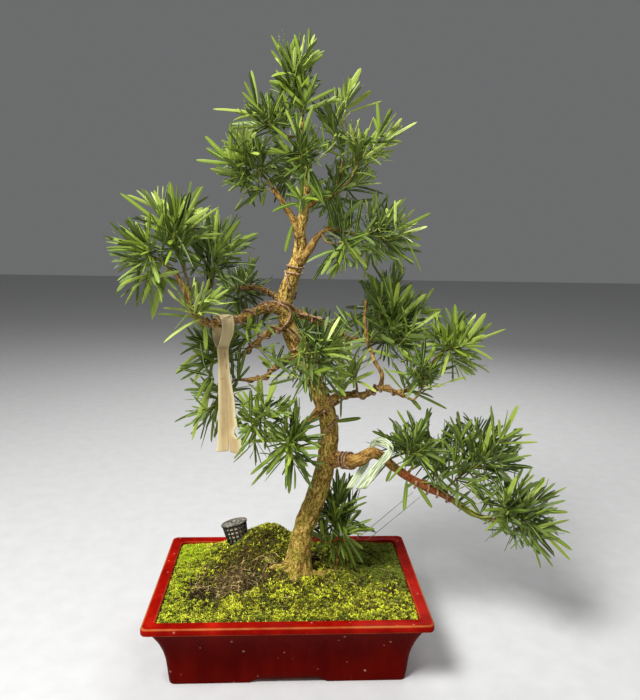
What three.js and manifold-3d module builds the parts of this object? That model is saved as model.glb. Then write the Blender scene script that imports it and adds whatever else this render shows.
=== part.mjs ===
// A podocarpus bonsai in a red glazed pot.
// Millimetres, +Z up, +X to the right, +Y away. The pot stands on z = 0.
// Everything is laid out round the middle of the pot, and the whole plant is then
// moved so that the origin lies on the floor under the middle of its box.

import * as THREE from 'three';
import { mergeVertices } from 'three/addons/utils/BufferGeometryUtils.js';
import Module from 'manifold-3d';

const wasm = await Module();
wasm.setup();

// ---------------------------------------------------------------- driving sizes

const BOX_MIDDLE = { x: 65.8, y: 6.5 }; // middle of the plant's box, seen from the pot's middle
const GAP = 0.3; // clearance between pieces that touch

const POT = {
  height: 79,
  footHeight: 5,
  cornerRadius: 6,
  insideRadius: 4.8,
  underRadius: 4,
  cornerSteps: 3,
  rimBevel: 0.8,
  rimHalf: [150, 100], // outer edge of the rim, half width and half depth
  rimWidth: 13,
  wall: 9,
  floor: 9,
  footWidth: 13,
  archHalf: [40, 26], // half length of the cut between the feet, long side and short side
  // How far the outside stands in from the rim's edge, at each height
  outside: [
    [0, 23], [10, 22], [30, 20], [50, 15], [62, 10], [69, 6.5], [70.5, 5.5], [71, 0.6], [72, 0], [78, 0],
  ],
};

const SOIL = {
  edgeHeight: 76,
  mound: { at: [7, -6], rise: 15, spread: 62 },
  hump: { at: [-28, 54], rise: 36, spread: 44 },
  dips: { size: 1.2, length: 6.5 },
  flatEdge: 12, // how sharply the mound falls away to the level edge
  shares: [0.86, 0.68, 0.5, 0.3, 0.1], // rings of the surface, as shares of the edge
  sidePoints: [5, 3], // extra points along the long and the short sides
};

const TRUNK = {
  sides: 10,
  steps: 32,
  flare: { height: 15, swell: 0.7, lobes: 5, turn: Math.PI },
  // x, y, z and thickness at each bend, from the cut at ground level to the tip
  bends: [
    [10, -8, 88, 26], [16, -7, 140, 23], [29, -4, 175, 23.4], [38.6, -1, 209, 21.2],
    [44, 2, 244, 20.2], [42, 3, 268, 20], [25, 5, 314, 18.8], [2, 4, 359, 18.2],
    [-8, 2, 398, 17.6], [0, 1, 425, 16.6], [8.4, 0, 456, 12.4], [8.4, 0, 476, 10.2],
    [15, 2, 514, 9], [8, 3, 562, 6.2], [9, 2, 584, 4.2],
  ],
};

// Each bough leaves its carrier's middle line, which it is coped to, and ends in a flat tip.
const BOUGHS = [
  { name: 'bough_low_right', from: 'trunk', sides: 8,
    bends: [[42, 2, 222, 14.7], [62, -12, 225, 14.4], [74, -28, 231, 14.6], [90, -30, 240, 12.8],
      [116, -18, 218, 9], [151, -12, 194, 9.2], [176, -12, 183, 7.4], [206, -18, 164, 5.4],
      [228, -22, 159, 4]] },
  { name: 'bough_mid_right', from: 'trunk', sides: 7,
    bends: [[40, 3, 283, 9], [52, -2, 296, 7.2], [82, -10, 300, 6.6], [97, -12, 308, 6.5],
      [124, -12, 299, 4.6]] },
  { name: 'bough_far_right', from: 'bough_mid_right', sides: 6,
    bends: [[116, -12, 302.5, 4.4], [134, -4, 306, 4.2], [147, -2, 324, 3.8],
      [161, -8, 343, 3.4]] },
  { name: 'bough_riser', from: 'bough_mid_right', sides: 6,
    bends: [[98, -12, 308, 4.6], [99, -10, 322, 4], [91, -5, 336, 3.8], [86, 2, 350, 3.4]] },
  { name: 'bough_upper_right', from: 'trunk', sides: 6,
    bends: [[-5, 2, 391, 9], [15, 8, 383, 7.6], [37, 16, 373, 6.7], [62, 24, 357, 6],
      [92, 30, 352, 4.4]] },
  { name: 'bough_left', from: 'trunk', sides: 7,
    bends: [[-7, 2, 393, 11.4], [-30, -8, 392, 9.6], [-58, -24, 382, 8.4], [-84, -42, 381, 7.6],
      [-98, -49, 392, 6], [-103, -50, 419, 5]] },
  { name: 'bough_left_end', from: 'bough_left', sides: 6,
    bends: [[-101, -50, 402, 4.4], [-108, -51, 420, 4], [-115, -52, 432, 3.6],
      [-123, -52, 439, 3.2]] },
  { name: 'bough_upper_left', from: 'trunk', sides: 6,
    bends: [[-7, 2, 398, 6.4], [-19, 14, 405, 5], [-39, 26, 412, 4.8], [-60, 36, 410, 4]] },
  { name: 'bough_lower_left', from: 'trunk', sides: 6,
    bends: [[0, 4, 371, 8.4], [-20, -12, 370, 7.2], [-38, -12, 356, 5.8], [-52, -8, 343, 4.2]] },
  { name: 'bough_bottom_left', from: 'trunk', sides: 6,
    bends: [[8, 4, 342, 6.8], [-14, -16, 334, 5], [-28, -20, 321, 4.6], [-50, -16, 317, 4]] },
  { name: 'bough_low_left', from: 'trunk', sides: 6,
    bends: [[38, 3, 284, 9], [22, -12, 273, 6.4], [12, -22, 262, 4.8], [4, -28, 255, 3.8]] },
  { name: 'bough_top_right', from: 'trunk', sides: 6,
    bends: [[6, 0, 442, 11.4], [17, -2, 454, 8.6], [26, -3, 468, 6], [38, -6, 477, 4.4],
      [48, -10, 475, 3.6]] },
  { name: 'bough_crown_right', from: 'trunk', sides: 6,
    bends: [[14, 2, 500, 6], [30, 4, 507, 4.8], [44, 6, 514, 4.4], [49, 6, 534, 4]] },
  { name: 'fork_left', from: 'trunk', sides: 7,
    bends: [[8.4, 0, 468, 8.6], [1, -2, 485, 7], [-6, -4, 496, 6.4], [-12, -6, 506, 6],
      [-20, -7, 516, 5.4]] },
  { name: 'basal_stem', from: 'soil_moss', sides: 6,
    bends: [[56, 12, 78, 5.6], [57, 13, 94, 5], [58, 13, 106, 4.4]] },
];

// Each mass keeps to an ellipsoid round `heart` with the half sizes `reach`. `at` says how far
// along the carrier its stem leaves it, where 1 is the tip.
const MASSES = [
  { name: 'foliage_apex', from: 'trunk', at: 1,
    heart: [2, 0, 622], reach: [35, 34, 52], shoots: 4 },
  { name: 'foliage_crown_left_high', from: 'trunk', at: 0.95,
    heart: [-22, -12, 576], reach: [46, 40, 44], shoots: 5 },
  { name: 'foliage_crown_left_low', from: 'fork_left', at: 1,
    heart: [-42, 4, 541], reach: [56, 48, 45], shoots: 6 },
  { name: 'foliage_crown_front', from: 'trunk', at: 0.89,
    heart: [9, -32, 545], reach: [34, 38, 46], shoots: 3 },
  { name: 'foliage_crown_back', from: 'trunk', at: 0.9,
    heart: [-2, 44, 542], reach: [46, 42, 50], shoots: 5 },
  { name: 'foliage_crown_right_high', from: 'bough_crown_right', at: 1,
    heart: [50, 8, 584], reach: [40, 36, 54], shoots: 4 },
  { name: 'foliage_crown_right_low', from: 'bough_crown_right', at: 0.85,
    heart: [72, -10, 564], reach: [48, 36, 46], shoots: 4 },
  { name: 'foliage_crown_right_back', from: 'bough_crown_right', at: 0.55,
    heart: [56, 38, 520], reach: [42, 42, 44], shoots: 4 },
  { name: 'foliage_shoulder_inner', from: 'bough_top_right', at: 0.6,
    heart: [54, -20, 463], reach: [36, 38, 44], shoots: 3 },
  { name: 'foliage_shoulder_outer', from: 'bough_top_right', at: 1,
    heart: [92, -4, 469], reach: [46, 42, 44], shoots: 5 },
  { name: 'foliage_left_inner', from: 'bough_left', at: 0.84,
    heart: [-76, -20, 456], reach: [42, 40, 48], shoots: 4 },
  { name: 'foliage_left_high', from: 'bough_left', at: 1,
    heart: [-120, -48, 470], reach: [46, 42, 52], shoots: 5 },
  { name: 'foliage_left_tip', from: 'bough_left_end', at: 1,
    heart: [-137, -54, 448], reach: [44, 40, 58], shoots: 5 },
  { name: 'foliage_left_back', from: 'bough_upper_left', at: 1,
    heart: [-58, 46, 408], reach: [42, 46, 42], shoots: 5 },
  { name: 'foliage_left_under', from: 'bough_left', at: 0.7,
    heart: [-97, -62, 396], reach: [42, 30, 30], shoots: 2 },
  { name: 'foliage_left_centre', from: 'bough_lower_left', at: 0.55,
    heart: [-42, -10, 372], reach: [36, 30, 38], shoots: 3 },
  { name: 'foliage_lower_left', from: 'bough_lower_left', at: 1,
    heart: [-76, 2, 341], reach: [52, 38, 46], shoots: 5 },
  { name: 'foliage_hanging_left', from: 'bough_bottom_left', at: 1,
    heart: [-80, -8, 288], reach: [42, 38, 52], shoots: 4 },
  { name: 'foliage_low_left_front', from: 'bough_low_left', at: 1,
    heart: [0, -38, 254], reach: [38, 40, 52], shoots: 4 },
  { name: 'foliage_low_left_outer', from: 'bough_bottom_left', at: 0.75,
    heart: [-35, -44, 275], reach: [38, 38, 58], shoots: 4 },
  { name: 'foliage_centre_front', from: 'trunk', at: 0.52,
    heart: [26, -40, 346], reach: [48, 40, 50], shoots: 5 },
  { name: 'foliage_centre_back', from: 'trunk', at: 0.5,
    heart: [28, 56, 340], reach: [48, 48, 56], shoots: 6 },
  { name: 'foliage_middle_fan', from: 'bough_mid_right', at: 0.42,
    heart: [68, -10, 324], reach: [36, 34, 40], shoots: 2 },
  { name: 'foliage_upper_right', from: 'bough_riser', at: 1,
    heart: [112, 14, 374], reach: [60, 48, 58], shoots: 7 },
  { name: 'foliage_upper_right_back', from: 'bough_upper_right', at: 1,
    heart: [112, 72, 386], reach: [50, 48, 52], shoots: 6 },
  { name: 'foliage_far_right', from: 'bough_far_right', at: 1,
    heart: [168, -20, 352], reach: [52, 42, 46], shoots: 5 },
  { name: 'foliage_middle_right', from: 'bough_mid_right', at: 1,
    heart: [144, -24, 322], reach: [48, 38, 42], shoots: 4 },
  { name: 'foliage_low_right_inner', from: 'bough_low_right', at: 0.55,
    heart: [132, -14, 238], reach: [48, 42, 52], shoots: 5 },
  { name: 'foliage_low_right_high', from: 'bough_low_right', at: 0.74,
    heart: [222, -4, 224], reach: [62, 46, 56], shoots: 7 },
  { name: 'foliage_low_right_tip', from: 'bough_low_right', at: 1,
    heart: [252, -24, 166], reach: [66, 48, 58], shoots: 7 },
  { name: 'foliage_low_back', from: 'bough_low_right', at: 0.66,
    heart: [180, 46, 216], reach: [46, 44, 46], shoots: 5 },
  { name: 'foliage_basal', from: 'basal_stem', at: 1,
    heart: [57, 12, 146], reach: [42, 38, 60], shoots: 5 },
];

const TWIG = {
  stem: 5, // thickness of a mass's stem at its foot
  shoot: 2.2, // thickness of a side shoot at its foot
  tip: 3.6, // thickness of both at the tip
  sides: 3,
  seat: 0.7, // a stem that leaves a carrier's side starts at this share of its radius, coped to it
  straight: 12, // from the stem's start to its bend
  leader: 0.22, // how far past the heart the leading shoot ends, as a share of the mass's size
  reach: 0.42, // how far from the heart the side shoots end, as a share of the mass's reach
  rises: [0.75, -0.55], // how far the first and the last side shoot point along the stem
  forks: [0.72, 0.3], // where the first and the last side shoot leave the stem
  tipInside: 3, // a shoot's tip keeps this far inside the mass's space
  footInside: 2, // and its foot this far
};

const LEAF = {
  perShoot: 5,
  length: [34, 48],
  shorter: [1, 0.82, 0.66], // a leaf that doesn't fit is tried at these shares of its length
  width: 8,
  widest: 0.46, // where along its length a leaf is widest
  thickness: 1.3,
  seats: [0.1, 0.75], // where the first and the last leaf sit, from the shoot's tip down
  lean: [0.6, 1.3], // and how far they lean away from the shoot, in radians
  free: 0.1, // share of a leaf that lies in the crowded foot of its neighbours
  clear: 3, // least distance between two leaves
  fromLimbs: 3.2, // least distance between a leaf's middle line and a limb
  overMoss: 2,
  margin: 0.35, // leaves keep this far inside their own mass's space
};

const VARY = { least: 0.85, span: 0.3 }; // the factor that varies a lean or a reach
const SEED = 1000;
const GOLDEN_ANGLE = Math.PI * (3 - Math.sqrt(5));

const BASKET = {
  foot: [-63, 54],
  sunk: 4,
  height: 31,
  lid: { radius: 16, depth: 4.5 },
  rim: 14.8,
  base: 11.6,
  back: -0.19, // how far it leans back and to the side, in radians
  tilt: -0.26,
  sides: 14,
};

// Heights on the tag and the label are measured down from the middle of their bough.
const TAG = {
  over: 'bough_left',
  at: 0.47,
  slack: 1.8, // room between the bough and the band over it
  bandWidth: 15,
  thickness: 1.3,
  apart: 1.17, // half the distance between the two ends where they hang together
  meet: 20,
  shortEnd: 118,
  neck: { at: 78, width: 17 },
  head: { from: 122, to: 140, width: 28 },
  fromLeaves: 8.5,
};

const LABEL = {
  over: 'bough_low_right',
  at: 0.43,
  slack: 4.6,
  width: 10,
  thickness: 1.2,
  backEnd: 4,
  shoulder: 10,
  frontEnd: 40,
  lean: 2, // how far the front end swings in under the bough
  slant: 0.75, // shift along the bough for each unit down
};

const BAND_STEPS = 6; // facets of a band over a bough

// ---------------------------------------------------------------- materials

function finish(color, roughness, metalness = 0) {
  return new THREE.MeshStandardMaterial({ color, roughness, metalness });
}

const MATERIALS = {
  glaze: finish(0xa01408, 0.15),
  moss: finish(0x7d8c2e, 0.95),
  bark: finish(0x9a6b3a, 0.85),
  leaf: finish(0x5f8f33, 0.5),
  plastic: finish(0x1c1f1a, 0.6),
  paper: finish(0xe2d3a8, 0.7),
};

// ---------------------------------------------------------------- solids

/** A repeatable stream of numbers from 0 to 1, the same for the same seed (mulberry32). */
function randomStream(seed) {
  let state = seed >>> 0;
  return () => {
    state = (state + 0x6d2b79f5) >>> 0;
    let mixed = state;
    mixed = Math.imul(mixed ^ (mixed >>> 15), mixed | 1);
    mixed ^= mixed + Math.imul(mixed ^ (mixed >>> 7), mixed | 61);
    return ((mixed ^ (mixed >>> 14)) >>> 0) / 4294967296;
  };
}

/** The number at a share of the way between the two ends of a range. */
function between(range, share) {
  return THREE.MathUtils.lerp(range[0], range[1], share);
}

/** A factor a little below or above 1. */
function vary(random) {
  return VARY.least + VARY.span * random();
}

function vector(numbers) {
  return new THREE.Vector3(numbers[0], numbers[1], numbers[2]);
}

/** The three.js geometry as a manifold solid: shared corners merged, only positions kept. */
function toSolid(geometry) {
  const bare = geometry.clone();
  bare.deleteAttribute('normal');
  bare.deleteAttribute('uv');
  const merged = mergeVertices(bare, 1e-4);
  return new wasm.Manifold(new wasm.Mesh({
    numProp: 3,
    vertProperties: new Float32Array(merged.attributes.position.array),
    triVerts: new Uint32Array(merged.index.array),
  }));
}

function toGeometry(solid) {
  const mesh = solid.getMesh();
  const geometry = new THREE.BufferGeometry();
  geometry.setAttribute('position', new THREE.BufferAttribute(new Float32Array(mesh.vertProperties), 3));
  geometry.setIndex(new THREE.BufferAttribute(new Uint32Array(mesh.triVerts), 1));
  geometry.computeVertexNormals();
  return geometry;
}

/** Only the largest body of a solid: loose scraps and sealed hollows are dropped. */
function mainBody(solid) {
  const bodies = solid.decompose();
  return bodies.reduce((best, body) => (body.volume() > best.volume() ? body : best));
}

/** A closed body through rings of equally many points, each end closed by a flat fan. */
function loft(rings) {
  const sides = rings[0].length;
  const positions = rings.flat().flatMap((point) => [point.x, point.y, point.z]);
  const faces = [];
  for (let ring = 0; ring + 1 < rings.length; ring += 1) {
    for (let side = 0; side < sides; side += 1) {
      const here = ring * sides + side;
      const next = ring * sides + ((side + 1) % sides);
      faces.push(here, next, next + sides, here, next + sides, here + sides);
    }
  }
  const last = (rings.length - 1) * sides;
  for (let side = 1; side + 1 < sides; side += 1) {
    faces.push(0, side + 1, side);
    faces.push(last, last + side, last + side + 1);
  }
  const geometry = new THREE.BufferGeometry();
  geometry.setAttribute('position', new THREE.Float32BufferAttribute(positions, 3));
  geometry.setIndex(faces);
  return geometry;
}

// ---------------------------------------------------------------- limbs

/** A limb: its middle line, its radius anywhere along it, and rings of points round it. */
class Limb {
  constructor({ name, bends, sides, steps, flare }) {
    this.name = name;
    this.sides = sides;
    this.flare = flare;
    this.line = new THREE.CatmullRomCurve3(bends.map(vector), false, 'centripetal');
    this.thickness = bends.map((bend) => bend[3]);
    this.steps = steps ?? Math.max(3, Math.round(this.line.getLength() / 14));
  }

  point(t) {
    return this.line.getPoint(t);
  }

  direction(t) {
    return this.line.getTangent(t);
  }

  radius(t) {
    const place = t * (this.thickness.length - 1);
    const before = Math.min(Math.floor(place), this.thickness.length - 2);
    return THREE.MathUtils.lerp(this.thickness[before], this.thickness[before + 1], place - before) / 2;
  }

  /** The root flare swells the foot into lobes, which are the tops of the surface roots. */
  swell(height, angle) {
    if (!this.flare) return 1;
    const { height: reach, swell, lobes, turn } = this.flare;
    const lobe = 0.62 + 0.38 * Math.cos(lobes * angle + turn);
    return 1 + swell * lobe * Math.exp(-height / reach);
  }

  rings(extra) {
    const rings = [];
    const foot = this.point(0).z;
    let across = new THREE.Vector3(1, 0, 0);
    const widen = extra / Math.cos(Math.PI / this.sides);
    for (let step = 0; step <= this.steps; step += 1) {
      const t = step / this.steps;
      const middle = this.point(t);
      const along = this.flare && step === 0 ? new THREE.Vector3(0, 0, 1) : this.direction(t);
      across = across.clone().addScaledVector(along, -across.dot(along)).normalize();
      const beside = new THREE.Vector3().crossVectors(along, across);
      const ring = [];
      for (let side = 0; side < this.sides; side += 1) {
        const angle = (2 * Math.PI * side) / this.sides;
        const radius = this.radius(t) * this.swell(middle.z - foot, angle) + widen;
        ring.push(middle.clone()
          .addScaledVector(across, radius * Math.cos(angle))
          .addScaledVector(beside, radius * Math.sin(angle)));
      }
      rings.push(ring);
    }
    if (extra > 0) {
      const last = this.direction(1).multiplyScalar(extra);
      rings[rings.length - 1].forEach((point) => point.add(last));
    }
    return rings;
  }

  solid(extra = 0) {
    return toSolid(loft(this.rings(extra)));
  }
}

const trunk = new Limb({ name: 'trunk', ...TRUNK });
const limbs = new Map([['trunk', trunk]]);
for (const bough of BOUGHS) limbs.set(bough.name, new Limb(bough));

// ---------------------------------------------------------------- pot and soil

/** A rectangle with rounded corners, counter-clockwise, as points at one height. */
function roundedRing(halfX, halfY, radius, z) {
  const ring = [];
  for (let corner = 0; corner < 4; corner += 1) {
    const signX = corner === 0 || corner === 3 ? 1 : -1;
    const signY = corner < 2 ? 1 : -1;
    for (let step = 0; step <= POT.cornerSteps; step += 1) {
      const angle = (Math.PI / 2) * (corner + step / POT.cornerSteps);
      ring.push(new THREE.Vector3(
        signX * (halfX - radius) + radius * Math.cos(angle),
        signY * (halfY - radius) + radius * Math.sin(angle),
        z,
      ));
    }
  }
  return ring;
}

function potRing(inset, z, radius = POT.cornerRadius) {
  return roundedRing(POT.rimHalf[0] - inset, POT.rimHalf[1] - inset, radius, z);
}

/** How far the pot's outside stands in from the rim's edge at a height. */
function outsideInset(z) {
  const table = POT.outside;
  if (z <= table[0][0]) return table[0][1];
  const above = table.findIndex((row) => row[0] >= z);
  if (above < 0) return table[table.length - 1][1];
  const [lowZ, lowInset] = table[above - 1];
  const [highZ, highInset] = table[above];
  return THREE.MathUtils.mapLinear(z, lowZ, highZ, lowInset, highInset);
}

/** The inside of the pot, from its floor up, as rings that stand in by `clear` from the wall. */
function insideRings(top, clear) {
  const floor = POT.footHeight + POT.floor + clear;
  const heights = [floor, 50, 69, 71, top];
  return heights.map((z) => {
    const inset = Math.max(outsideInset(z) + POT.wall, POT.rimWidth) + clear;
    return potRing(inset, z, POT.insideRadius);
  });
}

function makePot() {
  const rings = POT.outside.map(([z, inset]) => potRing(inset, z));
  rings.push(potRing(POT.rimBevel, POT.height));
  const hollow = insideRings(POT.height + POT.rimBevel, 0);
  const footInset = POT.outside[0][1] + POT.footWidth;
  const underside = loft([
    potRing(footInset, -POT.footHeight, POT.underRadius),
    potRing(footInset, POT.footHeight, POT.underRadius),
  ]);
  let pot = toSolid(loft(rings)).subtract(toSolid(loft(hollow))).subtract(toSolid(underside));
  const [archX, archY] = POT.archHalf;
  const arches = [[2 * archX, 2 * POT.rimHalf[1]], [2 * POT.rimHalf[0], 2 * archY]];
  for (const [sizeX, sizeY] of arches) {
    const arch = new THREE.BoxGeometry(sizeX, sizeY, 2 * POT.footHeight);
    pot = pot.subtract(toSolid(arch));
  }
  return pot;
}

function bump(x, y, { at, rise, spread }) {
  const distance = Math.hypot(x - at[0], y - at[1]);
  return rise * Math.exp(-((distance / spread) ** 2));
}

/** Height of the moss at a place, level with the soil's edge along the pot's walls. */
function soilHeight(x, y) {
  const nearness = Math.max(Math.abs(x) / (POT.rimHalf[0] - POT.rimWidth),
    Math.abs(y) / (POT.rimHalf[1] - POT.rimWidth));
  const fade = 1 - Math.min(1, nearness) ** SOIL.flatEdge;
  const dips = SOIL.dips.size * Math.sin(x / SOIL.dips.length) * Math.cos(y / SOIL.dips.length);
  return SOIL.edgeHeight + fade * (bump(x, y, SOIL.mound) + bump(x, y, SOIL.hump) + dips);
}

/** A ring with extra points along its four straight sides. */
function withSidePoints(ring) {
  return ring.flatMap((point, index) => {
    const next = ring[(index + 1) % ring.length];
    const length = point.distanceTo(next);
    if (length < POT.rimHalf[1]) return [point];
    const extra = length > 2 * POT.rimHalf[1] ? SOIL.sidePoints[0] : SOIL.sidePoints[1];
    return Array.from({ length: extra + 1 }, (_, step) => point.clone().lerp(next, step / (extra + 1)));
  });
}

function makeSoil(cutters) {
  const rings = insideRings(SOIL.edgeHeight, GAP).map(withSidePoints);
  const edge = rings[rings.length - 1];
  for (const share of SOIL.shares) {
    rings.push(edge.map((point) => {
      const x = point.x * share;
      const y = point.y * share;
      return new THREE.Vector3(x, y, soilHeight(x, y));
    }));
  }
  let soil = toSolid(loft(rings));
  for (const cutter of cutters) soil = soil.subtract(cutter);
  return mainBody(soil);
}

// ---------------------------------------------------------------- basket and tags

/** A lidded cup of plastic mesh, turned on its own axis and set a little askew in the moss. */
function makeBasket(extra) {
  const { foot, sunk, height, lid, rim, base, back, tilt, sides } = BASKET;
  const profile = [
    [0, -extra],
    [base + extra, -extra],
    [rim + extra, height - lid.depth],
    [lid.radius + extra, height - lid.depth],
    [lid.radius + extra, height + extra],
    [0, height + extra],
  ];
  const basket = new THREE.LatheGeometry(profile.map(([x, y]) => new THREE.Vector2(x, y)), sides);
  basket.rotateX(Math.PI / 2 + back);
  basket.rotateY(tilt);
  basket.translate(foot[0], foot[1], soilHeight(foot[0], foot[1]) - sunk);
  return toSolid(basket);
}

/** A ribbon laid over a bough: `course` lists its offset across the bough, its height and its width. */
function makeRibbon(middle, along, course, thickness, slant = 0) {
  const across = new THREE.Vector3(0, 0, 1).cross(along).normalize();
  const places = course.map(([offset, height]) => middle.clone()
    .addScaledVector(across, offset)
    .addScaledVector(along, slant * Math.min(0, height))
    .setZ(middle.z + height));
  const rings = places.map((place, index) => {
    const before = places[Math.max(0, index - 1)];
    const after = places[Math.min(places.length - 1, index + 1)];
    const face = new THREE.Vector3().crossVectors(along, after.clone().sub(before)).normalize();
    const half = course[index][2] / 2;
    return [[-half, -1], [-half, 1], [half, 1], [half, -1]].map(([wide, side]) => place.clone()
      .addScaledVector(along, wide)
      .addScaledVector(face, (side * thickness) / 2));
  });
  return toSolid(loft(rings));
}

/** The bend of a ribbon over the top of a bough, from its far side to its near side. */
function overTop(radius, width) {
  return Array.from({ length: BAND_STEPS + 1 }, (_, step) => {
    const angle = (Math.PI * step) / BAND_STEPS;
    return [radius * Math.cos(angle), radius * Math.sin(angle), width];
  });
}

/** A paper tag: a band over the left bough, its two ends hanging together, one with a wide head. */
function makeTag() {
  const { at, slack, bandWidth, thickness, apart, meet, shortEnd, neck, head } = TAG;
  const bough = limbs.get(TAG.over);
  const along = bough.direction(at).setZ(0).normalize();
  const radius = bough.radius(at) + slack + thickness / 2;
  const course = [
    [apart, -shortEnd, bandWidth],
    [apart, -meet, bandWidth],
    ...overTop(radius, bandWidth),
    [-apart, -meet, bandWidth],
    [-apart, -neck.at, neck.width],
    [-apart, -head.from, head.width],
    [-apart, -head.to, head.width],
  ];
  return makeRibbon(bough.point(at), along, course, thickness);
}

/** A narrow label bent over the low right bough, its long end slanting down in front. */
function makeLabel() {
  const { at, slack, width, thickness, backEnd, shoulder, frontEnd, lean, slant } = LABEL;
  const bough = limbs.get(LABEL.over);
  const along = bough.direction(at).setZ(0).normalize();
  const radius = bough.radius(at) + slack + thickness / 2;
  const course = [
    [radius, -backEnd, width],
    ...overTop(radius, width),
    [-radius, -shoulder, width],
    [-radius + lean / 2, -frontEnd / 2, width],
    [-radius + lean, -frontEnd, width],
  ];
  return makeRibbon(bough.point(at), along, course, thickness, slant);
}

// ---------------------------------------------------------------- foliage

/** Shortest distance between the segments a-b and c-d. */
function segmentDistance(a, b, c, d) {
  const u = b.clone().sub(a);
  const v = d.clone().sub(c);
  const w = a.clone().sub(c);
  const uu = u.dot(u);
  const uv = u.dot(v);
  const vv = v.dot(v);
  const det = uu * vv - uv * uv;
  let s = det > 1e-9 ? THREE.MathUtils.clamp((uv * v.dot(w) - vv * u.dot(w)) / det, 0, 1) : 0;
  let t = THREE.MathUtils.clamp((uv * s + v.dot(w)) / vv, 0, 1);
  s = THREE.MathUtils.clamp((uv * t - u.dot(w)) / uu, 0, 1);
  t = THREE.MathUtils.clamp((uv * s + v.dot(w)) / vv, 0, 1);
  return a.clone().addScaledVector(u, s).distanceTo(c.clone().addScaledVector(v, t));
}

/** Every limb and the tag as thick segments that leaves and twigs keep clear of. */
function obstacleSegments() {
  const obstacles = [];
  for (const limb of limbs.values()) {
    for (let step = 0; step < limb.steps; step += 1) {
      const t = step / limb.steps;
      const next = (step + 1) / limb.steps;
      const foot = limb.flare ? limb.swell(limb.point(t).z - limb.point(0).z, 0) : 1;
      obstacles.push({
        owner: limb.name,
        from: limb.point(t),
        to: limb.point(next),
        radius: Math.max(limb.radius(t), limb.radius(next)) * Math.max(1, foot),
      });
    }
  }
  const hang = limbs.get(TAG.over).point(TAG.at);
  for (const side of [-1, 1]) {
    const from = hang.clone().add(new THREE.Vector3((side * TAG.head.width) / 4, 0, 0));
    const to = from.clone().add(new THREE.Vector3(0, 0, -TAG.head.to));
    obstacles.push({ owner: 'tag', from, to, radius: TAG.fromLeaves });
  }
  return obstacles;
}

const OBSTACLES = obstacleSegments();

/** Adds every mass's stem to what the leaves and twigs of the other masses keep clear of. */
function addStemObstacles(masses) {
  for (const mass of masses) {
    const { start, bend, leader } = stemLine(mass);
    for (const [from, to] of [[start, bend], [bend, leader]]) {
      OBSTACLES.push({ owner: mass.name, from, to, radius: TWIG.stem / 2 });
    }
  }
}

/** The smallest clearance from a segment to every obstacle but those of one owner. */
function clearance(from, to, except) {
  let least = Infinity;
  for (const obstacle of OBSTACLES) {
    if (obstacle.owner !== except) {
      least = Math.min(least, segmentDistance(from, to, obstacle.from, obstacle.to) - obstacle.radius);
    }
  }
  return least;
}

/** Whether a point lies in a mass's own space: its ellipsoid, cut off half way to its neighbours. */
function inSpace(mass, point, margin) {
  const offset = point.clone().sub(mass.heart);
  const [a, b, c] = mass.reach;
  if ((offset.x / a) ** 2 + (offset.y / b) ** 2 + (offset.z / c) ** 2 > 1) return false;
  const overPot = Math.abs(point.x) < POT.rimHalf[0] + 2 * LEAF.overMoss;
  if (overPot && point.z < soilHeight(point.x, point.y) + LEAF.overMoss) return false;
  const power = offset.lengthSq() - mass.size ** 2;
  return mass.neighbours.every((other) => {
    const otherPower = point.distanceToSquared(other.heart) - other.size ** 2;
    return power + 2 * margin * mass.heart.distanceTo(other.heart) < otherPower;
  });
}

/** A leaf as a narrow keeled blade: its root, its tip, its two edges and the midrib beneath. */
function leafCorners(root, direction, up, length) {
  const across = new THREE.Vector3().crossVectors(direction, up).normalize();
  const face = new THREE.Vector3().crossVectors(across, direction).normalize();
  const middle = root.clone().addScaledVector(direction, length * LEAF.widest);
  return {
    root,
    tip: root.clone().addScaledVector(direction, length),
    left: middle.clone().addScaledVector(across, -LEAF.width / 2),
    right: middle.clone().addScaledVector(across, LEAF.width / 2),
    midrib: middle.clone().addScaledVector(face, -LEAF.thickness),
  };
}

function leafSolid(corners) {
  const { root, tip, left, right, midrib } = corners;
  const points = [root, tip, left, right, midrib];
  const geometry = new THREE.BufferGeometry();
  geometry.setAttribute('position',
    new THREE.Float32BufferAttribute(points.flatMap((point) => [point.x, point.y, point.z]), 3));
  geometry.setIndex([0, 3, 2, 1, 2, 3, 0, 2, 4, 0, 4, 3, 1, 4, 2, 1, 3, 4]);
  return toSolid(geometry);
}

function twigSolid(points, thickness) {
  const bends = points.map((point, index) => [
    point.x, point.y, point.z,
    between(thickness, index / (points.length - 1)),
  ]);
  return new Limb({ bends, sides: TWIG.sides, steps: points.length - 1 }).solid();
}

/** Two directions at right angles to a twig, for turning its leaves round it. */
function sideways(along) {
  const helper = Math.abs(along.z) < 0.9 ? new THREE.Vector3(0, 0, 1) : new THREE.Vector3(1, 0, 0);
  const first = new THREE.Vector3().crossVectors(along, helper).normalize();
  return [first, new THREE.Vector3().crossVectors(along, first)];
}

/** Where a leaf has come free of the crowded foot of its neighbours. */
function freeFrom(corners) {
  return corners.root.clone().lerp(corners.tip, LEAF.free);
}

function leafFits(mass, corners, placed) {
  const free = freeFrom(corners);
  return Object.values(corners).every((corner) => inSpace(mass, corner, LEAF.margin))
    && clearance(corners.root, corners.tip, mass.name) > LEAF.fromLimbs
    && placed.every(([start, end]) => segmentDistance(free, corners.tip, start, end) > LEAF.clear);
}

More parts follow.
